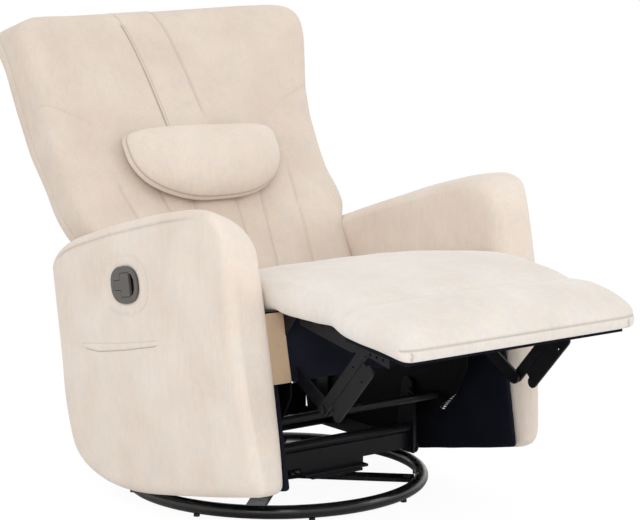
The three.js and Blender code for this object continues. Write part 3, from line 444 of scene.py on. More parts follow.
# %% Dark lining
def lining_material(name, colour, dust):
    material, tree, shader = empty_material(name)
    place = tree.nodes.new("ShaderNodeTexCoord").outputs["Object"]
    dusty = noise_of(tree, place, scale=14.0, detail=4.0)
    dusty = ranged(tree, dusty, low=0.4, high=0.75, new_low=0.0, new_high=0.35)
    cloth = mixed(tree, dusty, colour, dust)
    tree.links.new(cloth, shader.inputs["Base Color"])
    shader.inputs["Roughness"].default_value = 0.95
    shader.inputs["Specular IOR Level"].default_value = 0.12
    weave = noise_of(tree, mapped(tree, place, (1, 1, 0.5)), scale=900.0, detail=1.0)
    bumped(tree, shader, weave, strength=0.3, distance=0.0006)
    print(name)
    return material


lining_cloth = lining_material(
    "lining_weave",
    colour=(0.006, 0.007, 0.013, 1),
    dust=(0.018, 0.020, 0.03, 1),
)

# %% [markdown]
# The mechanism is powder-coated: a black that is never quite smooth. A fine orange-peel bump
# breaks its highlights, and worn spots are a little paler. The ring is glossier than the links,
# and the side plates are the dullest steel, so one recipe takes roughness and shine as numbers.

# %% Metals and plastics
smoother, rougher = 0.08, 0.14


def coated(name, colour, wear, rough, metallic=0.0, peel=0.12, shine=0.5):
    material, tree, shader = empty_material(name)
    place = tree.nodes.new("ShaderNodeTexCoord").outputs["Object"]
    cloud = noise_of(tree, place, scale=38.0, detail=5.0, rough=0.62)
    scuffs = noise_of(tree, mapped(tree, place, (0.2, 1, 1)), scale=160.0, detail=3.0)
    cloudy = ranged(tree, cloud, low=0.52, high=0.8)
    scuffed = ranged(tree, scuffs, low=0.5, high=0.8)
    worn = combined(tree, "MULTIPLY", cloudy, scuffed)
    tree.links.new(mixed(tree, worn, colour, wear), shader.inputs["Base Color"])
    dulled = ranged(tree, cloud, 0.3, 0.8, rough - smoother, rough + rougher)
    tree.links.new(dulled, shader.inputs["Roughness"])
    shader.inputs["Metallic"].default_value = metallic
    shader.inputs["Specular IOR Level"].default_value = shine
    peel_height = noise_of(tree, place, scale=1100.0, detail=2.0)
    bumped(tree, shader, peel_height, strength=peel, distance=0.0004)
    print(name)
    return material


black_coat = coated(
    "black_powder_coat",
    colour=(0.006, 0.006, 0.008, 1),
    wear=(0.03, 0.03, 0.033, 1),
    rough=0.34,
    shine=0.2,
)
ring_coat = coated(
    "ring_gloss_coat",
    colour=(0.008, 0.008, 0.009, 1),
    wear=(0.05, 0.05, 0.055, 1),
    rough=0.2,
    peel=0.05,
)
plate_coat = coated(
    "side_plate_coat",
    colour=(0.003, 0.003, 0.004, 1),
    wear=(0.012, 0.012, 0.014, 1),
    rough=0.5,
    shine=0.08,
)
link_coat = coated(
    "link_steel",
    colour=(0.009, 0.009, 0.011, 1),
    wear=(0.03, 0.03, 0.033, 1),
    rough=0.44,
    shine=0.16,
)
spring_steel = coated(
    "spring_steel",
    colour=(0.55, 0.56, 0.58, 1),
    wear=(0.3, 0.29, 0.28, 1),
    rough=0.25,
    metallic=1.0,
)
handle_plastic = coated(
    "handle_plastic",
    colour=(0.098, 0.086, 0.078, 1),
    wear=(0.14, 0.125, 0.115, 1),
    rough=0.45,
)
foot_rubber = coated(
    "foot_rubber",
    colour=(0.02, 0.02, 0.021, 1),
    wear=(0.05, 0.05, 0.05, 1),
    rough=0.6,
)

# %% [markdown]
# The rails of the seat box are plain timber. They show only from behind and below, so long
# stretched noise along the rails stands for the grain.


# %% Timber
def timber(name, dark, pale, stain):
    material, tree, shader = empty_material(name)
    place = tree.nodes.new("ShaderNodeTexCoord").outputs["Object"]
    along_rail = mapped(tree, place, (0.12, 1, 1))
    grain = noise_of(tree, along_rail, scale=120.0, detail=5.0, rough=0.6)
    board = noise_of(tree, place, scale=6.0, detail=2.0)
    wood = mixed(tree, ranged(tree, grain, low=0.3, high=0.7), dark, pale)
    stained = ranged(tree, board, low=0.3, high=0.7, new_low=0.0, new_high=0.4)
    wood = mixed(tree, stained, wood, stain)
    tree.links.new(wood, shader.inputs["Base Color"])
    shader.inputs["Roughness"].default_value = 0.75
    bumped(tree, shader, grain, strength=0.2, distance=0.0008)
    print(name)
    return material


frame_timber = timber(
    "rail_timber",
    dark=(0.30, 0.19, 0.10, 1),
    pale=(0.5, 0.36, 0.22, 1),
    stain=(0.42, 0.28, 0.16, 1),
)

# %% [markdown]
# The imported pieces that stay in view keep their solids, which are exact, and only get a finish.
# Their names tell which one.


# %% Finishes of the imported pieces
def finish_of(name):
    if name.startswith("base_foot"):
        return foot_rubber
    if name in ("side_rail_left", "side_rail_right", "rear_rail"):
        return frame_timber
    if "spring" in name:
        return spring_steel
    if name.startswith("handle"):
        return handle_plastic
    if name.startswith("side_plate"):
        return plate_coat
    if name.startswith(("front_link", "footrest_bracket")):
        return link_coat
    if name.startswith("base_"):
        return ring_coat
    if name in ("ottoman_board", "front_rail"):
        return lining_cloth
    return black_coat


for node_name, node_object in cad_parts.items():
    for material_slot in node_object.material_slots:
        material_slot.material = finish_of(node_name)
print(len(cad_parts), "packed pieces have their finish")

# %% [markdown]
# The arms are padded slabs. Seen from the side the top edge falls toward the back, the front
# corner is round, and the rear lower corner is cut off in a long curve. The far arm is squarer in
# front and lower behind than the near arm, and both stand higher on the outer side in front. So
# the crest follows two lines on each arm, of (place along the chair, height), and one more line
# gives the lower edge of both.

# %% Lines of the arms
inside_half = 0.2746
arm_outer = 0.359
arm_front, arm_rear = -0.396, 0.209
arm_low, arm_top = 0.070, 0.592
near_inner_rows = (
    (arm_front, 0.474),
    (-0.390, 0.503),
    (-0.376, 0.532),
    (-0.348, 0.556),
    (-0.312, 0.571),
    (-0.270, 0.581),
    (-0.205, 0.588),
    (-0.140, 0.588),
    (-0.024, 0.580),
    (0.098, 0.564),
    (0.145, 0.555),
    (0.180, 0.539),
    (arm_rear, 0.505),
)
near_outer_rows = (
    (arm_front, 0.500),
    (-0.390, 0.533),
    (-0.376, 0.573),
    (-0.348, 0.588),
    (-0.312, arm_top),
    (-0.270, arm_top),
    (-0.205, 0.590),
    (-0.140, 0.586),
    (-0.024, 0.577),
    (0.098, 0.562),
    (0.145, 0.553),
    (0.180, 0.538),
    (arm_rear, 0.505),
)
far_inner_rows = (
    (arm_front, 0.500),
    (-0.390, 0.540),
    (-0.376, 0.566),
    (-0.348, 0.583),
    (-0.312, 0.589),
    (-0.270, 0.590),
    (-0.205, 0.585),
    (-0.140, 0.577),
    (-0.061, 0.566),
    (0.023, 0.556),
    (0.089, 0.546),
    (0.145, 0.537),
    (0.180, 0.528),
    (arm_rear, 0.505),
)
far_outer_rows = (
    (arm_front, 0.520),
    (-0.390, 0.575),
    (-0.379, 0.591),
    (-0.348, 0.599),
    (-0.310, 0.601),
    (-0.270, 0.599),
    (-0.217, 0.595),
    (-0.140, 0.589),
    (-0.061, 0.578),
    (0.023, 0.566),
    (0.089, 0.557),
    (0.145, 0.549),
    (0.180, 0.538),
    (arm_rear, 0.512),
)
crest_lines = {-1: (near_inner_rows, near_outer_rows), 1: (far_inner_rows, far_outer_rows)}
arm_low_rows = (
    (arm_front, 0.075),
    (-0.250, 0.071),
    (-0.097, arm_low),
    (-0.020, 0.0705),
    (0.040, 0.074),
    (0.080, 0.080),
    (0.125, 0.091),
    (0.160, 0.109),
    (0.186, 0.130),
    (0.200, 0.160),
    (arm_rear, 0.205),
)
print("arms are", round(arm_rear - arm_front, 3), "long and", round(arm_top - arm_low, 3), "high")

# %% [markdown]
# The flat slab becomes an arm in steps: it is stretched between its lines, crowned on top, drawn
# in toward its lower edge, plumped on both faces and bulged in front and behind. Each step has
# its own size here, so that one can be changed without the others.

# %% Shape of an arm
crown_height = 0.006
taper_top, taper_in, taper_bend = 0.330, 0.024, 1.6
plump, plump_reach, plump_low, plump_high = 0.003, 0.32, (0.02, 0.25), (0.02, 0.2)
front_bulge, rear_bulge = 0.006, 0.012
rear_bulge_from, rear_bulge_height, rear_bulge_reach = 0.100, 0.190, 0.130
far_out, far_in = 0.006, 0.016
far_front, far_front_from, far_front_full = 0.005, 0.25, 0.37
far_taper_top, far_taper_run = 0.430, 0.190


def arm_crest(x, y, side):
    """The arm's top edge, from the line beside the seat to the line on the outer side."""
    inner, outer = crest_lines[side]
    outward = smooth(np.abs(x), inside_half, arm_outer)
    return curve(inner, y) * (1 - outward) + curve(outer, y) * outward


def arm_shape(points, side):
    x, y, z = points.T.copy()
    share = (z - arm_low) / (arm_top - arm_low)
    low = curve(arm_low_rows, y)
    high = arm_crest(x, y, side)
    middle = (inside_half + arm_outer) / 2
    crown = crown_height * smooth(share, 0.5, 1) * dome(np.abs(x), middle, arm_outer - inside_half)
    z = low + (high - low) * share + crown
    outward = smooth(np.abs(x), inside_half, arm_outer)
    below = np.clip((taper_top - z) / (taper_top - arm_low), 0, None)
    x = x - side * outward * taper_in * below**taper_bend
    pad = smooth(share, *plump_low) * smooth(1 - share, *plump_high)
    pad = pad * dome(y, (arm_front + arm_rear) / 2, plump_reach)
    x = x + side * (outward - 0.5) * 2 * plump * pad
    y = y - front_bulge * np.sin(pi * share) * (y < 0)
    bulge = smooth(y, rear_bulge_from, arm_rear) * dome(z, rear_bulge_height, rear_bulge_reach)
    y = y + rear_bulge * bulge
    if side > 0:
        x = x + outward * (far_out - far_in * smooth(far_taper_top - z, 0, far_taper_run))
        y = y - far_front * outward * smooth(-y, far_front_from, far_front_full)
    return np.column_stack((x, y, z))


# %% [markdown]
# The near arm carries the release handle and a pocket. The cloth is let in behind the handle's
# plate, so the points round it are gathered onto two rings and those inside are pushed back,
# which leaves a clean rim. Below, the elastic hem of the pocket draws the cloth into small
# gathers just above and under it, and they are noise that fades away from the hem.

# %% Handle recess and pocket gathers
handle_place = (-0.068, 0.470)
plate_half = (0.047, 0.035)
plate_squareness = 2.5
recess_edge, recess_deep = 0.93, 0.023
gather_rings = ((0.80, recess_edge, 0.905), (recess_edge, 1.04, 0.955))
rim_reach, rim_out = 1.6, 0.0001
face_deep = 0.025
pocket_ends = (-0.172, 0.112)
pocket_low_rows = ((-0.172, 0.353), (-0.046, 0.347), (0.047, 0.346), (0.112, 0.355))
pocket_top_rows = ((-0.172, 0.368), (-0.030, 0.366), (0.112, 0.368))
pocket_height = 0.357
pocket_middle, pocket_reach, pocket_calm = -0.03, 0.13, (0.012, 0.045)
gather_deep, gather_rates, gather_seed = 0.0016, (42, 9), 5.0
above_hem, under_hem = (0.030, 0.014), (-0.034, 0.018)
gather_starts, gather_ends = (-0.19, -0.13), (0.08, 0.13)


def handle_reach(points):
    """How far each point of the arm lies from the handle's middle: 1 is the edge of its plate."""
    y = np.abs(points[:, 1] - handle_place[0]) / plate_half[0]
    z = np.abs(points[:, 2] - handle_place[1]) / plate_half[1]
    return (y**plate_squareness + z**plate_squareness) ** (1 / plate_squareness)


def let_in_handle(points, normals):
    reach = handle_reach(points)
    outer_face = (points[:, 0] < -arm_outer + face_deep) & (normals[:, 0] < -0.5)
    middle = np.array(handle_place)
    for low_reach, high_reach, target in gather_rings:
        ring = outer_face & (reach > low_reach) & (reach <= high_reach)
        grow = (target / reach[ring])[:, None]
        points[ring, 1:] = middle + (points[ring, 1:] - middle) * grow
    inside = outer_face & (reach <= recess_edge)
    points[inside, 0] = -arm_outer + recess_deep
    rim = outer_face & (reach > recess_edge) & (reach < rim_reach)
    points[rim, 0] = np.maximum(points[rim, 0], -arm_outer - rim_out)


def gather_pocket(points, face):
    along_pocket = smooth(points[:, 1], *gather_starts) * (1 - smooth(points[:, 1], *gather_ends))
    height = points[:, 2] - pocket_height
    near_pocket = sum(crease(height - middle, width) for middle, width in (above_hem, under_hem))
    scaled = points[:, 1:] * gather_rates
    gathers = np.array([noise.noise(Vector((y, z, gather_seed))) for y, z in scaled])
    points[:, 0] -= gather_deep * gathers * near_pocket * along_pocket * face


# %% [markdown]
# Both arms are one recipe. A seam runs along the top, where the outer face begins to turn, and it
# fades out before the front corner and the rear edge. The faces swell in slow waves, except round
# the pocket, where the hem holds the cloth flat. The far arm has the rounder edges.

# %% Arm covers
seam_inset = 0.013
seam_drop, seam_width = 0.012, 0.0028
seam_deep, seam_dark = 0.0035, 0.22
cut_gap = 0.003
seam_outward = (inside_half + 0.045, inside_half + 0.06)
seam_starts, seam_stops = (-0.35, -0.24), (0.01, 0.05)


def make_arm(name, side, node, edge):
    ends = sorted((side * inside_half, side * arm_outer))
    low = (ends[0], arm_front, arm_low)
    high = (ends[1], arm_rear, arm_top)
    seam_x = side * (arm_outer - seam_inset)
    seams = [(0, seam_x + shift) for shift in (-cut_gap, 0, cut_gap)]
    seams += [(2, arm_top - seam_inset - shift) for shift in (-cut_gap, cut_gap)]
    obj = link(name, grid_box(low, high, cuts=(4, 36, 31), seams=seams))
    flat = rounded(points_of(obj.data), low, high, edge)
    put_points(obj.data, arm_shape(flat, side))
    mesh = refine(obj, 2)
    points = points_of(mesh)
    normals = normals_of(mesh)

    below_crest = arm_crest(points[:, 0], points[:, 1], side) - points[:, 2]
    on_outer = smooth(np.abs(points[:, 0]), *seam_outward)
    along_top = smooth(points[:, 1], *seam_starts) * smooth(arm_rear - points[:, 1], *seam_stops)
    seam_and_shade = crease(below_crest - seam_drop, seam_width) * on_outer * along_top
    points = raised(points, normals, -seam_and_shade * seam_deep)
    face = smooth(np.abs(normals[:, 0]), 0.6, 0.95)
    past_pocket = np.clip(np.abs(points[:, 1] - pocket_middle) - pocket_reach, 0, None)
    pocket_gap = np.abs(points[:, 2] - pocket_height) + 0.5 * past_pocket
    calm = smooth(pocket_gap, *pocket_calm)
    waves = swell(points, size=0.11, seed=3 + side, amount=0.0022)
    points[:, 0] += side * waves * face * calm
    if side < 0:
        gather_pocket(points, face)
        let_in_handle(points, normals)
    put_points(mesh, moved(points, to_level))
    # The darkening of the seam along the top of the arm is painted shade.
    mark(mesh, "seam_and_shade", seam_and_shade * seam_dark)
    dress(obj, "seat_unit", arm_cloth, (node,))


make_arm("near_arm_cover", -1, "arm_left", edge=0.022)
make_arm("far_arm_cover", 1, "arm_right", edge=0.030)

# %% [markdown]
# The backrest cushion. Its wings come forward and its crest rolls back, its top edge falls
# toward the corners, and it narrows below the wings to fit between the arms. Its outline, its
# wings and its crest are lines of (place along the back, size), read at every point of a soft box.

# %% Lines of the backrest
back_low, back_top = -0.025, 0.652
back_pad = 0.062
back_edge = 0.026
rear_edge = 0.006
back_half = 0.322
back_seam = 0.005
back_shell = 0.019
back_corner, rear_corner = 0.062, 0.022
back_half_rows = (
    (back_low, 0.268),
    (0.070, 0.277),
    (0.116, 0.284),
    (0.138, 0.297),
    (0.156, 0.309),
    (0.200, 0.317),
    (0.280, 0.316),
    (0.400, 0.323),
    (0.480, 0.331),
    (back_top - back_corner, 0.341),
    (back_top, 0.344),
)
wing_rows = (
    (0, -0.026),
    (0.120, -0.022),
    (0.240, 0.004),
    (0.370, 0),
    (0.460, -0.026),
    (0.552, -0.054),
    (back_top, -0.072),
)
crest_rows = ((0.560, 0), (0.600, 0.003), (0.628, 0.009), (back_top, 0.018))
print("back is", round(back_top - back_low, 3), "high and", back_pad, "thick")

# %% [markdown]
# The lower half of the cushion is sewn into upright channels, which fan out a little toward the
# top. The grid is bent with them, so that its extra cuts stay under the seams. The same shape
# serves the outer back, whose top corners are tighter because little padding fills them.

# %% Shape of the backrest
channel_places = (-0.186, -0.102, -0.046, 0.046, 0.102, 0.186)
channel_fan, fan_foot, fan_inner = 0.13, 0.110, 0.1
fan_outer, fan_above = (0.19, 0.26), (0.25, 0.42)
flare, flare_from = 0.014, 0.150
corner_fall, corner_from = 0.038, 0.400
wing_inner, wing_outer, wing_bend = 0.057, 0.342, 1.4


def outward_share(x):
    return smooth(np.abs(x), wing_inner, wing_outer) ** wing_bend


def channel_lean(x):
    """How far a channel leans out for each metre of height."""
    return channel_fan * np.sign(x) * smooth(np.abs(x), 0, fan_inner)


def back_face(x, along):
    return curve(wing_rows, along) * outward_share(x) + curve(crest_rows, along)


def half_width(along, corner):
    over = np.clip(along - (back_top - corner), 0, corner)
    drop = corner - np.sqrt(corner**2 - over**2)
    return curve(back_half_rows, along) - drop


def back_shape(points):
    x, through, along = points.T.copy()
    across = x / back_half
    depth = np.clip(through, 0, None) / back_pad
    rearward = flare * depth * smooth(along, flare_from, back_top)
    corner = back_corner - (back_corner - rear_corner) * np.clip(depth, 0, 1)
    x = across * (half_width(along, corner) + rearward)
    fan = channel_lean(x) * (1 - smooth(np.abs(x), *fan_outer))
    x = x + fan * (along - fan_foot) * (1 - smooth(along, *fan_above))
    through = through + back_face(x, along)
    along = along - corner_fall * outward_share(x) * smooth(along, corner_from, back_top)
    return np.column_stack((x, through, along))


def back_rounded(points, low, high):
    """Soft corners in front, tighter ones behind, where the cushion meets the outer back."""
    soft = rounded(points, low, high, back_edge)
    tight = rounded(points, low, high, rear_edge)
    behind = points[:, 1:2] > (low[1] + high[1]) / 2
    return np.where(behind, tight, soft)


# %% [markdown]
# A sewn line is a narrow groove with a wide soft fold round it, and a thin dark line of painted
# shade along it. The channels are pulled tighter than the two side seams, which run in from each
# edge and down to the outermost channel and are hardly more than a hint.

# %% Backrest cushion
side_seam = [
    (0.345, 0.437),
    (0.318, 0.431),
    (0.286, 0.419),
    (0.252, 0.403),
    (0.215, 0.382),
    (0.190, 0.366),
]
channel_shade_line = {"width": 0.0022, "dark": 0.26}
channel_groove = ((0.0018, 0.003), (0.0022, 0.016))
side_shade_line = {"width": 0.0018, "dark": 0.2}
side_groove = ((0.0008, 0.003), (0.0016, 0.02))
channel_cut, channel_half, rear_cut_shares = 0.007, 0.262, (0.2, 0.7)
channel_top, side_seam_from = (0.225, 0.275), (0.19, 0.27)
padding_rise, padding_middle, padding_reach = 0.004, 0.32, 0.36
facing = (0.3, 0.7)


def sewn(gap, where, line_shade, groove):
    """Painted shade and depth of a sewn line, from the distance to it."""
    dark = crease(gap, line_shade["width"]) * where * line_shade["dark"]
    deep = sum(depth * crease(gap, width) for depth, width in groove) * where
    return dark, deep


low = (-back_half, 0, back_low)
high = (back_half, back_pad, back_top)
spread = back_half / channel_half
seams = []
for place in channel_places:
    seams += [(0, place * spread + shift) for shift in (-channel_cut, 0, channel_cut)]
seams += [(1, back_pad - rear_edge * share) for share in rear_cut_shares]
back = link("back_cushion_cover", grid_box(low, high, cuts=(26, 3, 36), seams=seams))
put_points(back.data, back_shape(back_rounded(points_of(back.data), low, high)))
mesh = refine(back, 2)
points = points_of(mesh)
normals = normals_of(mesh)
x, through, along = points.T
front = smooth(-normals[:, 1], *facing)

flat_points = np.column_stack((x, along))
lines = []
for place in channel_places:
    gap = np.abs(x - place - channel_lean(place) * (along - fan_foot))
    lines.append(sewn(gap, 1 - smooth(along, *channel_top), channel_shade_line, channel_groove))
for side in (-1, 1):
    gap = from_line(flat_points, [(side * a, b) for a, b in side_seam])
    lines.append(sewn(gap, smooth(np.abs(x), *side_seam_from), side_shade_line, side_groove))
# Painted shade: the darkest line along each sewn line.
seam_and_shade = np.maximum.reduce([dark for dark, deep in lines])
press = np.maximum.reduce([deep for dark, deep in lines])
padding = dome(along, padding_middle, padding_reach) * dome(x, 0, padding_reach)
points = raised(points, normals, (padding_rise * padding - press) * front)
points = raised(points, normals, swell(points, size=0.13, seed=5, amount=0.0026) * front)
put_points(mesh, moved(points, to_back))
mark(mesh, "seam_and_shade", seam_and_shade * front)
dress(back, "backrest", shaded_back_cloth, ("back_cushion",))

# %% [markdown]
# The outer back is a second, thinner shell behind the cushion. It has the cushion's shape with
# tight edges, so the two meet in a narrow joint, and a seam runs round its face a little inside
# the edge. An extra cut near its front face keeps that edge tight when it is refined.

# %% Outer back
shell_overlap, shell_edge, shell_cut = 0.0030, 0.006, 0.0012
shell_seam = {"inset": 0.02, "width": 0.0026, "deep": 0.003, "dark": 0.4}
shell_low = back_pad - shell_overlap
shell_high = back_pad + back_seam + back_shell
low = (-back_half, shell_low, back_low)
high = (back_half, shell_high, back_top)
seams = [(1, shell_low + shell_cut)]
shell = link("outer_back_cover", grid_box(low, high, cuts=(30, 1, 34), seams=seams))
put_points(shell.data, back_shape(rounded(points_of(shell.data), low, high, shell_edge)))
mesh = refine(shell, 2)
points = points_of(mesh)
normals = normals_of(mesh)
rear = smooth(normals[:, 1], *facing)
inset = half_width(points[:, 2], back_corner) - np.abs(points[:, 0])
inset = np.minimum(inset, back_top - points[:, 2])
# The darkening of the seam round the outer back is painted shade.
seam_and_shade = crease(inset - shell_seam["inset"], shell_seam["width"]) * rear
points = raised(points, normals, -seam_and_shade * shell_seam["deep"])
points = raised(points, normals, swell(points, size=0.15, seed=9, amount=0.002) * rear)
put_points(mesh, moved(points, to_back))
mark(mesh, "seam_and_shade", seam_and_shade * shell_seam["dark"])
dress(shell, "backrest", shaded_back_cloth, ("back_shell",))

# %% [markdown]
# The strap is a hemmed band of the same cloth. It lies on the face of the back, turns over the
# crest and hangs down behind, clear of the outer back. A cloth could be dropped over the crest,
# but it would slip, so a grid strip is moved onto that path and given its thickness.

# %% Path of the strap
strap_half, strap_thick = 0.051, 0.0034
strap_low, strap_drop = 0.236, 0.130
strap_lift, strap_clear, clear_run = 0.0012, 0.0035, 0.03
strap_lean, lean_from = 0.024, 0.36


def strap_path(share):
    """Middle line of the strap in the backrest's own frame: through and along."""
    front_run = back_top - back_edge - strap_low
    turn_radius = back_edge + strap_lift
    turn_run = pi / 2 * turn_radius
    top_run = back_pad + back_seam + back_shell - back_edge
    total = front_run + turn_run + top_run + strap_drop
    s = share * total
    if s < front_run:
        return -strap_lift, strap_low + s
    s -= front_run
    if s < turn_run:
        angle = s / turn_radius
        return back_edge - turn_radius * cos(angle), back_top - back_edge + turn_radius * sin(angle)
    s -= turn_run
    if s < top_run:
        return back_edge + s, back_top + strap_lift
    hang = s - top_run
    clear = strap_clear * min(1, hang / clear_run)
    return back_edge + top_run + strap_lift + clear, back_top + strap_lift - hang


def leaning_left(along):
    """How far the strap has drifted to the left at this height."""
    return strap_lean * np.clip((along - lean_from) / (back_top - lean_from), 0, 1) ** 2


# %% [markdown]
# In front the strip ripples a little, its hems stand slightly proud, and its edges curl away from
# the cushion, most near the lower end. A row of stitches runs inside each edge, drawn as a line of
# painted shade, and a painted shadow darkens each edge.

# %% Pillow strap
hem_share, hem_rise = 0.8, 0.0009
ripple_deep, ripple_rates, ripple_seed = 0.0012, (18, 9), 2.0
front_share = 0.6
left_lift, left_curl = 0.0045, (0.02, 0.051)
right_lift, right_curl = 0.0034, (0.03, 0.051)
stitch_inset, stitch_width, stitch_dark = 0.0065, 0.0011, 0.4
hem_shadow, shadow_dark = (0.0492, 0.0508), 0.8

bm = bmesh.new()
bmesh.ops.create_grid(bm, x_segments=16, y_segments=90, size=1)
for vert in bm.verts:
    share = (vert.co.y + 1) / 2
    through, along = strap_path(share)
    across = vert.co.x * strap_half
    hem = hem_rise * (abs(vert.co.x) > hem_share)
    at = Vector((across * ripple_rates[0], share * ripple_rates[1], ripple_seed))
    ripple = ripple_deep * noise.noise(at)
    through += back_face(0.0, along)
    if share < front_share:
        lifted = left_lift * smooth(-across, *left_curl) + right_lift * smooth(across, *right_curl)
        through -= hem + abs(ripple) + lifted * (1 - share)
    vert.co = (across - leaning_left(along), through, along)
bmesh.ops.recalc_face_normals(bm, faces=bm.faces)
bmesh.ops.solidify(bm, geom=bm.faces[:], thickness=strap_thick)
bmesh.ops.recalc_face_normals(bm, faces=bm.faces)
strap = link("strap_band", bm)
mesh = refine(strap, 1)
points = points_of(mesh)
reach = np.abs(points[:, 0] + leaning_left(points[:, 2]))
# Painted shade marks the stitch rows, and a painted shadow darkens each edge.
stitches = crease(reach - (strap_half - stitch_inset), stitch_width) * stitch_dark
mark(mesh, "seam_and_shade", np.maximum(stitches, smooth(reach, *hem_shadow) * shadow_dark))
put_points(mesh, moved(points, to_back))
dress(strap, "backrest", shaded_back_cloth, ("pillow_strap",))

# %% [markdown]
# The pillow hangs on the strap, turned a little. Seen from the front it is a D lying on its back:
# a straight top edge with round ends, and a full curve below. A flat back panel and a full front
# panel meet in a seam just in front of the rim. A sphere is the right start, since its poles can
# become the two panels and its equator the rim.

# %% Pillow
pillow_half, pillow_thick = 0.181, 0.062
pillow_line, pillow_turn = 0.306, radians(2.2)
pillow_rise, pillow_fall, pillow_sag = 0.044, 0.119, 0.036
pillow_clear, rim_share = 0.0055, 0.22
upper_bend, lower_bend = 0.46, 0.87
panel_bend, at_pole = 0.8, 1e-9
rear_depth, front_depth = 0.20, 0.80
rear_fullness, front_fullness = 1.6, 0.9
rim_seam = {"ahead": 0.20, "width": 0.028, "deep": 0.0022, "dark": 0.6}

bm = bmesh.new()
lying = Matrix.Rotation(pi / 2, 4, "X")
bmesh.ops.create_uvsphere(bm, u_segments=128, v_segments=64, radius=1, matrix=lying)
pillow = link("pillow_cover", bm)
x, through, along = points_of(pillow.data).T
reach = np.maximum(np.hypot(x, along), at_pole)
across_share, up_share = x / reach, along / reach
bend = np.where(along > 0, upper_bend, lower_bend)
rim_x = np.sign(x) * np.abs(across_share) ** bend * pillow_half
rim_up = np.sign(along) * np.abs(up_share) ** bend * np.where(along > 0, pillow_rise, pillow_fall)
inward = reach**panel_bend
depth = np.where(through > 0, rear_depth, front_depth)
fullness = np.where(through > 0, rear_fullness, front_fullness)
face = np.sign(through) * np.abs(through) ** fullness
pillow_x = rim_x * inward
pillow_up = -pillow_sag * (1 - inward) + rim_up * inward
points = np.column_stack(
    (
        pillow_x * cos(pillow_turn) + pillow_up * sin(pillow_turn),
        -pillow_clear - pillow_thick * rim_share + face * pillow_thick * depth,
        pillow_line - pillow_x * sin(pillow_turn) + pillow_up * cos(pillow_turn),
    )
)
put_points(pillow.data, points)
normals = normals_of(pillow.data)
# The rim seam is pressed in, and its darkening is painted shade.
seam_and_shade = crease(through + rim_seam["ahead"], rim_seam["width"])
points = raised(points, normals, -seam_and_shade * rim_seam["deep"])
points = raised(points, normals, swell(points, size=0.07, seed=12, amount=0.0018))
put_points(pillow.data, moved(points, to_back))
mark(pillow.data, "seam_and_shade", seam_and_shade * rim_seam["dark"])
dress(pillow, "head_pillow", shaded_pillow_cloth, ("pillow",))

# %% [markdown]
# Seat and footrest are under one cover. It rises from the back of the seat to the front edge of
# the seat box, crosses the footrest hinge without a seam, dips where the bridge pad meets the
# ottoman and ends in the ottoman's plump front. So it is made as one long pad. Its upper and
# lower lines and the crown across it are read from tables by distance along the chair.

# %% Lines of the seat and footrest
pad_half = 0.268
pad_front, pad_rear = -0.731, 0.086
pad_edge, low_edge_share = 0.020, 0.35
valley = -0.5625
pad_top_rows = (
    (pad_front, 0.440),
    (-0.712, 0.452),
    (-0.689, 0.460),
    (-0.663, 0.466),
    (-0.637, 0.470),
    (-0.600, 0.4725),
    (valley, 0.4715),
    (-0.535, 0.476),
    (-0.502, 0.481),
    (-0.446, 0.487),
    (-0.389, 0.490),
    (-0.332, 0.486),
    (-0.273, 0.478),
    (-0.200, 0.463),
    (-0.100, 0.443),
    (pad_rear, 0.407),
)
pad_low_rows = (
    (pad_front, 0.407),
    (-0.660, 0.4155),
    (-0.605, 0.4195),
    (-0.549, 0.427),
    (-0.542, 0.437),
    (-0.529, 0.4395),
    (-0.486, 0.4365),
    (-0.389, 0.4365),
    (-0.366, 0.440),
    (-0.354, 0.4450),
    (-0.330, 0.4345),
    (-0.250, 0.4195),
    (pad_rear, 0.3588),
)
pad_crown_rows = (
    (pad_front, 0.003),
    (-0.700, 0.011),
    (-0.665, 0.0165),
    (-0.625, 0.017),
    (-0.590, 0.0115),
    (valley, 0.006),
    (-0.535, 0.0095),
    (-0.480, 0.014),
    (-0.400, 0.018),
    (-0.300, 0.022),
    (-0.200, 0.024),
    (-0.080, 0.020),
    (0.020, 0.010),
    (pad_rear, 0.001),
)
boxing = 0.021
front_corner = 0.019
side_swell, side_swell_from = 0.003, 0.22
crown_reach, crown_bend = pad_half * 1.12, 0.9
print("pad is", round(pad_rear - pad_front, 3), "long and", 2 * pad_half, "wide")


def pad_shape(points, low, high):
    x, y, z = points.T.copy()
    share = (z - low) / (high - low)
    bottom, top = curve(pad_low_rows, y), curve(pad_top_rows, y)
    crown = curve(pad_crown_rows, y) * smooth(share, 0.1, 1) * dome(x, 0, crown_reach) ** crown_bend
    over = np.clip(pad_front + front_corner - y, 0, front_corner)
    x = x * (pad_half - front_corner + np.sqrt(front_corner**2 - over**2)) / pad_half
    side_bulge = side_swell * np.sin(pi * share) * smooth(np.abs(x), side_swell_from, pad_half)
    x = x + np.sign(x) * side_bulge
    return np.column_stack((x, y, bottom + (top - bottom) * share + crown))


# %% [markdown]
# The ottoman's front wall has a boxing: a seam along it, and a short pleat below the seam near each
# corner. The cover is placed in the room as one piece and is not attached to any body.

# %% Seat and footrest cover
boxing_line = {"width": 0.0017, "deep": 0.0026, "dark": 0.5}
boxing_pleat = {"place": 0.2475, "width": 0.0018, "deep": 0.003, "dark": 0.5}
valley_line = {"width": 0.010, "deep": 0.0012, "dark": 0.05}
pad_drawn = 0.048
boxing_cut, front_cuts = 0.002, (0.004, 0.010)

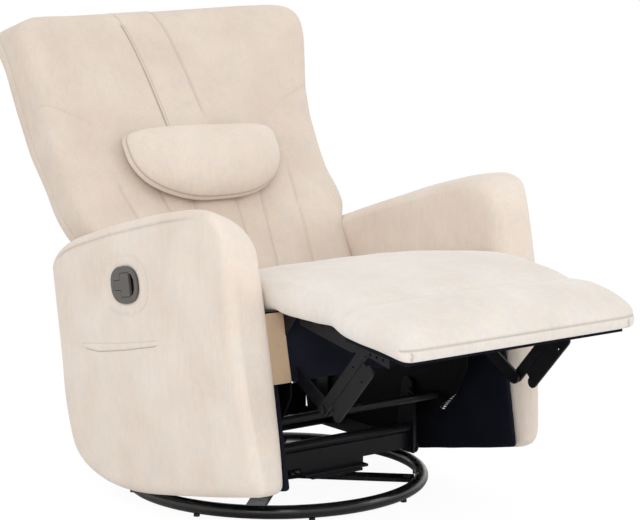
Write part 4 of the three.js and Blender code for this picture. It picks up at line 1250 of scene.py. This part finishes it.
low = (-pad_half, pad_front, 0)
high = (pad_half, pad_rear, pad_drawn)
seams = [(2, boxing + shift) for shift in (-boxing_cut, boxing_cut)]
seams += [(1, pad_front + inset) for inset in front_cuts]
seat = link("seat_cover", grid_box(low, high, cuts=(34, 52, 2), seams=seams))
box = points_of(seat.data)
plump_box = rounded(box, low, high, pad_edge)
tight_box = rounded(box, low, high, pad_edge * low_edge_share)
flat = np.where(box[:, 2:3] > boxing, plump_box, tight_box)
put_points(seat.data, pad_shape(flat, low[2], high[2]))
mesh = refine(seat, 2)
points = points_of(mesh)
normals = normals_of(mesh)
x, y, z = points.T
upper = smooth(normals[:, 2], 0.2, 0.8)
front_wall = smooth(-normals[:, 1], 0.35, 0.8)
height = z - curve(pad_low_rows, y)
below_boxing = 1 - smooth(height, boxing - 2 * boxing_cut, boxing + boxing_cut)
line = crease(height - boxing, boxing_line["width"]) * front_wall
pleat = crease(np.abs(x) - boxing_pleat["place"], boxing_pleat["width"]) * front_wall * below_boxing
# Painted shade: the valley is darkened a little as well as pressed in.
dip = crease(y - valley, valley_line["width"]) * upper
pressed = line * boxing_line["deep"] + pleat * boxing_pleat["deep"] + dip * valley_line["deep"]
points = raised(points, normals, -pressed)
waves = swell(points, size=0.12, seed=21, amount=0.003)
waves = waves + swell(points, size=0.045, seed=22, amount=0.0009)
points = raised(points, normals, waves * upper)
put_points(mesh, moved(points, to_floor))
# The darkening of the boxing seam and of the pleats is painted shade.
dark = np.maximum(line * boxing_line["dark"], pleat * boxing_pleat["dark"])
mark(mesh, "seam_and_shade", dark + dip * valley_line["dark"])
dress(seat, None, seat_cloth, ("seat_cushion", "bridge_pad", "ottoman_pad"))
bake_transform(seat)

# %% [markdown]
# Dark cloth is pulled over the inner sides of the arms and the front of the seat box, and the
# cream cloth wraps round the ends of that front rail. The wraps get a much darker copy of that
# cream, which is painted shade. These are thin panels, so each is a flat grid box with slight
# waves where the cloth is slack. The wraps lie in front of the dark cloth.

# %% Front lining and rail wraps
rail_front = -0.3853
rail_low, rail_top = 0.2705, 0.3975
wrap_inner, wrap_outer = 0.2385, 0.2795
wrap_ahead, wrap_behind = 0.0062, 0.0034
front_half, front_thick = 0.2368, 0.0028


def cloth_panel(name, low, high, cuts, node, cloth, seed, waves=0.0012):
    obj = link(name, grid_box(low, high, cuts))
    mesh = refine(obj, 1)
    points = points_of(mesh)
    points = raised(points, normals_of(mesh), swell(points, size=0.06, seed=seed, amount=waves))
    put_points(mesh, moved(points, to_level))
    dress(obj, "seat_unit", cloth, (node,))
    return obj


for side, word in ((-1, "left"), (1, "right")):
    xs = sorted((side * wrap_inner, side * wrap_outer))
    wrap = cloth_panel(
        f"rail_wrap_{word}_cloth",
        low=(xs[0], rail_front - wrap_ahead, rail_low),
        high=(xs[1], rail_front - wrap_behind, rail_top),
        cuts=(7, 1, 20),
        node=f"rail_wrap_{word}",
        cloth=shaded_wrap_cloth,
        seed=50 + side,
    )
    mark(wrap.data, "seam_and_shade", np.zeros(len(wrap.data.vertices)))

front_cloth = cloth_panel(
    "front_lining_cloth",
    low=(-front_half, rail_front - front_thick, rail_low),
    high=(front_half, rail_front, rail_top),
    cuts=(44, 1, 24),
    node="front_lining",
    cloth=lining_cloth,
    seed=55,
)

# %% [markdown]
# The linings of the arms end a little above the arms' lower edge and follow its curve, so their
# grid boxes are stretched between that line and a level one beside the seat.

# %% Arm linings
lining_front, lining_rear, lining_top = -0.385, 0.188, 0.396
lining_inner, lining_outer = 0.2622, 0.2741
lining_inset = 0.004
lining_rows = [(lining_front, curve(arm_low_rows, lining_front) + lining_inset)]
lining_rows += [(y, z + lining_inset) for y, z in arm_low_rows if lining_front < y < lining_rear]
lining_rows += [(lining_rear, curve(arm_low_rows, lining_rear) + lining_inset)]
for side, word, cover in ((-1, "left", "near_arm_cover"), (1, "right", "far_arm_cover")):
    xs = sorted((side * lining_inner, side * lining_outer))
    bm = grid_box((xs[0], lining_front, 0), (xs[1], lining_rear, 1), cuts=(1, 44, 26))
    panel = link(f"arm_lining_{word}_cloth", bm)
    x, y, share = points_of(panel.data).T.copy()
    z = curve(lining_rows, y) * (1 - share) + lining_top * share
    put_points(panel.data, np.column_stack((x, y, z)))
    mesh = refine(panel, 1)
    points = points_of(mesh)
    waves = swell(points, size=0.07, seed=60 + side, amount=0.0014)
    points = raised(points, normals_of(mesh), waves)
    put_points(mesh, moved(points, to_level))
    dress(panel, "seat_unit", lining_cloth, (f"arm_lining_{word}",))

# %% [markdown]
# The pocket on the near arm is a slit with an elastic hem. The hem gathers, so its upper edge is
# nearly straight while its lower line sags, with small puckers along it. It narrows at both ends,
# where it is sewn down. A grid strip is moved between the two lines and given its thickness.

# %% Pocket hem
hem_clear, hem_thick = 0.0030, 0.0028
hem_round, pucker_deep = 0.002, 0.0014
lower_shadow_line, upper_shade_line = (0.001, 0.0018, 0.8), (0.004, 0.001, 0.3)
end_height, end_rate = 0.25, 12
pucker_rates, pucker_seed = (95, 0.7), 3.0
hem_long = pocket_ends[1] - pocket_ends[0]

bm = bmesh.new()
bmesh.ops.create_grid(bm, x_segments=90, y_segments=10, size=1)
for vert in bm.verts:
    share, up = (vert.co.x + 1) / 2, (vert.co.y + 1) / 2
    y = pocket_ends[0] + hem_long * share
    close = min(1, min(share, 1 - share) * end_rate)
    bottom, top = curve(pocket_low_rows, y), curve(pocket_top_rows, y)
    middle = (bottom + top) / 2
    opened = end_height + (1 - end_height) * close
    z = middle + (bottom + (top - bottom) * up - middle) * opened
    pucker = noise.noise(Vector((y * pucker_rates[0], up * pucker_rates[1], pucker_seed)))
    bulge = hem_round * sin(pi * up) * close + pucker_deep * pucker * sin(pi * up)
    vert.co = (-arm_outer - hem_clear - max(0, bulge), y, z)
bmesh.ops.recalc_face_normals(bm, faces=bm.faces)
bmesh.ops.solidify(bm, geom=bm.faces[:], thickness=hem_thick)
bmesh.ops.recalc_face_normals(bm, faces=bm.faces)
hem = link("pocket_hem", bm)
mesh = refine(hem, 1)
points = points_of(mesh)
above = points[:, 2] - curve(pocket_low_rows, points[:, 1])
below = curve(pocket_top_rows, points[:, 1]) - points[:, 2]
# A painted shadow darkens the hem along its lower line, and painted shade along its upper edge.
seam_and_shade = np.zeros(len(points))
for inside, (inset, width, dark) in ((above, lower_shadow_line), (below, upper_shade_line)):
    seam_and_shade = seam_and_shade + crease(inside - inset, width) * dark
mark(mesh, "seam_and_shade", seam_and_shade)
put_points(mesh, moved(points, to_level))
dress(hem, "seat_unit", arm_cloth, ("pocket_band",))

# %% [markdown]
# The base ring is one steel tube bent round and welded shut. A circle is spun a full turn, which
# gives a rounder ring than the frame's facets.

# %% Base ring
bm = bmesh.new()
turn_in = Matrix.Translation((ring_radius, 0, ring_middle)) @ Matrix.Rotation(pi / 2, 4, "X")
bmesh.ops.create_circle(bm, segments=24, radius=ring_tube, matrix=turn_in)
bmesh.ops.spin(
    bm,
    geom=bm.verts[:] + bm.edges[:],
    cent=(0, 0, 0),
    axis=(0, 0, 1),
    angle=2 * pi,
    steps=160,
    use_merge=True,
)
bmesh.ops.remove_doubles(bm, verts=bm.verts, dist=weld)
bmesh.ops.translate(bm, verts=bm.verts, vec=(swivel_x, swivel_y, 0))
bmesh.ops.recalc_face_normals(bm, faces=bm.faces)
ring = link("base_ring_tube", bm)
dress(ring, "base", ring_coat, ("base_ring",))

# %% [markdown]
# A plain studio. The floor is a pale sheet that is brighter to the camera than to the chair, so
# it looks white and still keeps a faint shadow.

# %% Studio floor
camera_white = 0.92
bm = bmesh.new()
bmesh.ops.create_grid(bm, x_segments=1, y_segments=1, size=30)
floor = link("studio_floor", bm)
material, tree, shader = empty_material("studio_white")
shader.inputs["Base Color"].default_value = (0.9, 0.9, 0.9, 1)
shader.inputs["Roughness"].default_value = 0.9
glow = node_of(tree, "ShaderNodeEmission", Color=white, Strength=1.03)
path = tree.nodes.new("ShaderNodeLightPath")
blend = tree.nodes.new("ShaderNodeMixShader")
seen = combined(tree, "MULTIPLY", path.outputs["Is Camera Ray"], camera_white)
tree.links.new(seen, blend.inputs[0])
tree.links.new(shader.outputs[0], blend.inputs[1])
tree.links.new(glow.outputs[0], blend.inputs[2])
tree.links.new(blend.outputs[0], tree.nodes["Material Output"].inputs["Surface"])
floor.data.materials.append(material)
print("floor is", round(floor.dimensions.x), "m wide")

# %% [markdown]
# The world is white where the camera sees it and where metal mirrors it, and a little dimmer as
# a light. Three large soft lamps light the chair, so that no shadow has a hard edge: the key
# stands above the camera and a little to its left, the fill far to its right, and one on top.

# %% World and lamps
world_light, world_white = 0.78, 1.08
lamp_target = (0, 0, 0.5)
world = bpy.data.worlds.new("studio_world")
bpy.context.scene.world = world
world.use_nodes = True
tree = world.node_tree
backdrop = tree.nodes["Background"]
backdrop.inputs["Color"].default_value = white
path = tree.nodes.new("ShaderNodeLightPath")
seen = combined(tree, "MAXIMUM", path.outputs["Is Camera Ray"], path.outputs["Is Glossy Ray"])
seen = combined(tree, "MAXIMUM", seen, path.outputs["Is Transmission Ray"])
strength = ranged(tree, seen, low=0, high=1, new_low=world_light, new_high=world_white)
tree.links.new(strength, backdrop.inputs["Strength"])


def lamp(name, place, size, power):
    data = bpy.data.lights.new(name, "AREA")
    data.shape = "RECTANGLE"
    data.size, data.size_y = size
    data.energy = power
    obj = bpy.data.objects.new(name, data)
    aim = (Vector(lamp_target) - Vector(place)).to_track_quat("-Z", "Y")
    obj.location = place
    obj.rotation_euler = aim.to_euler()
    bpy.context.scene.collection.objects.link(obj)
    print(name, "lamp", power, "W")


lamp("key", place=(-2.7, -3.1, 2.3), size=(2.4, 2.0), power=60)
lamp("fill", place=(3.2, -2.4, 2.2), size=(2.2, 2.2), power=32)
lamp("top", place=(0.2, 0.6, 3.6), size=(3.0, 3.0), power=11)
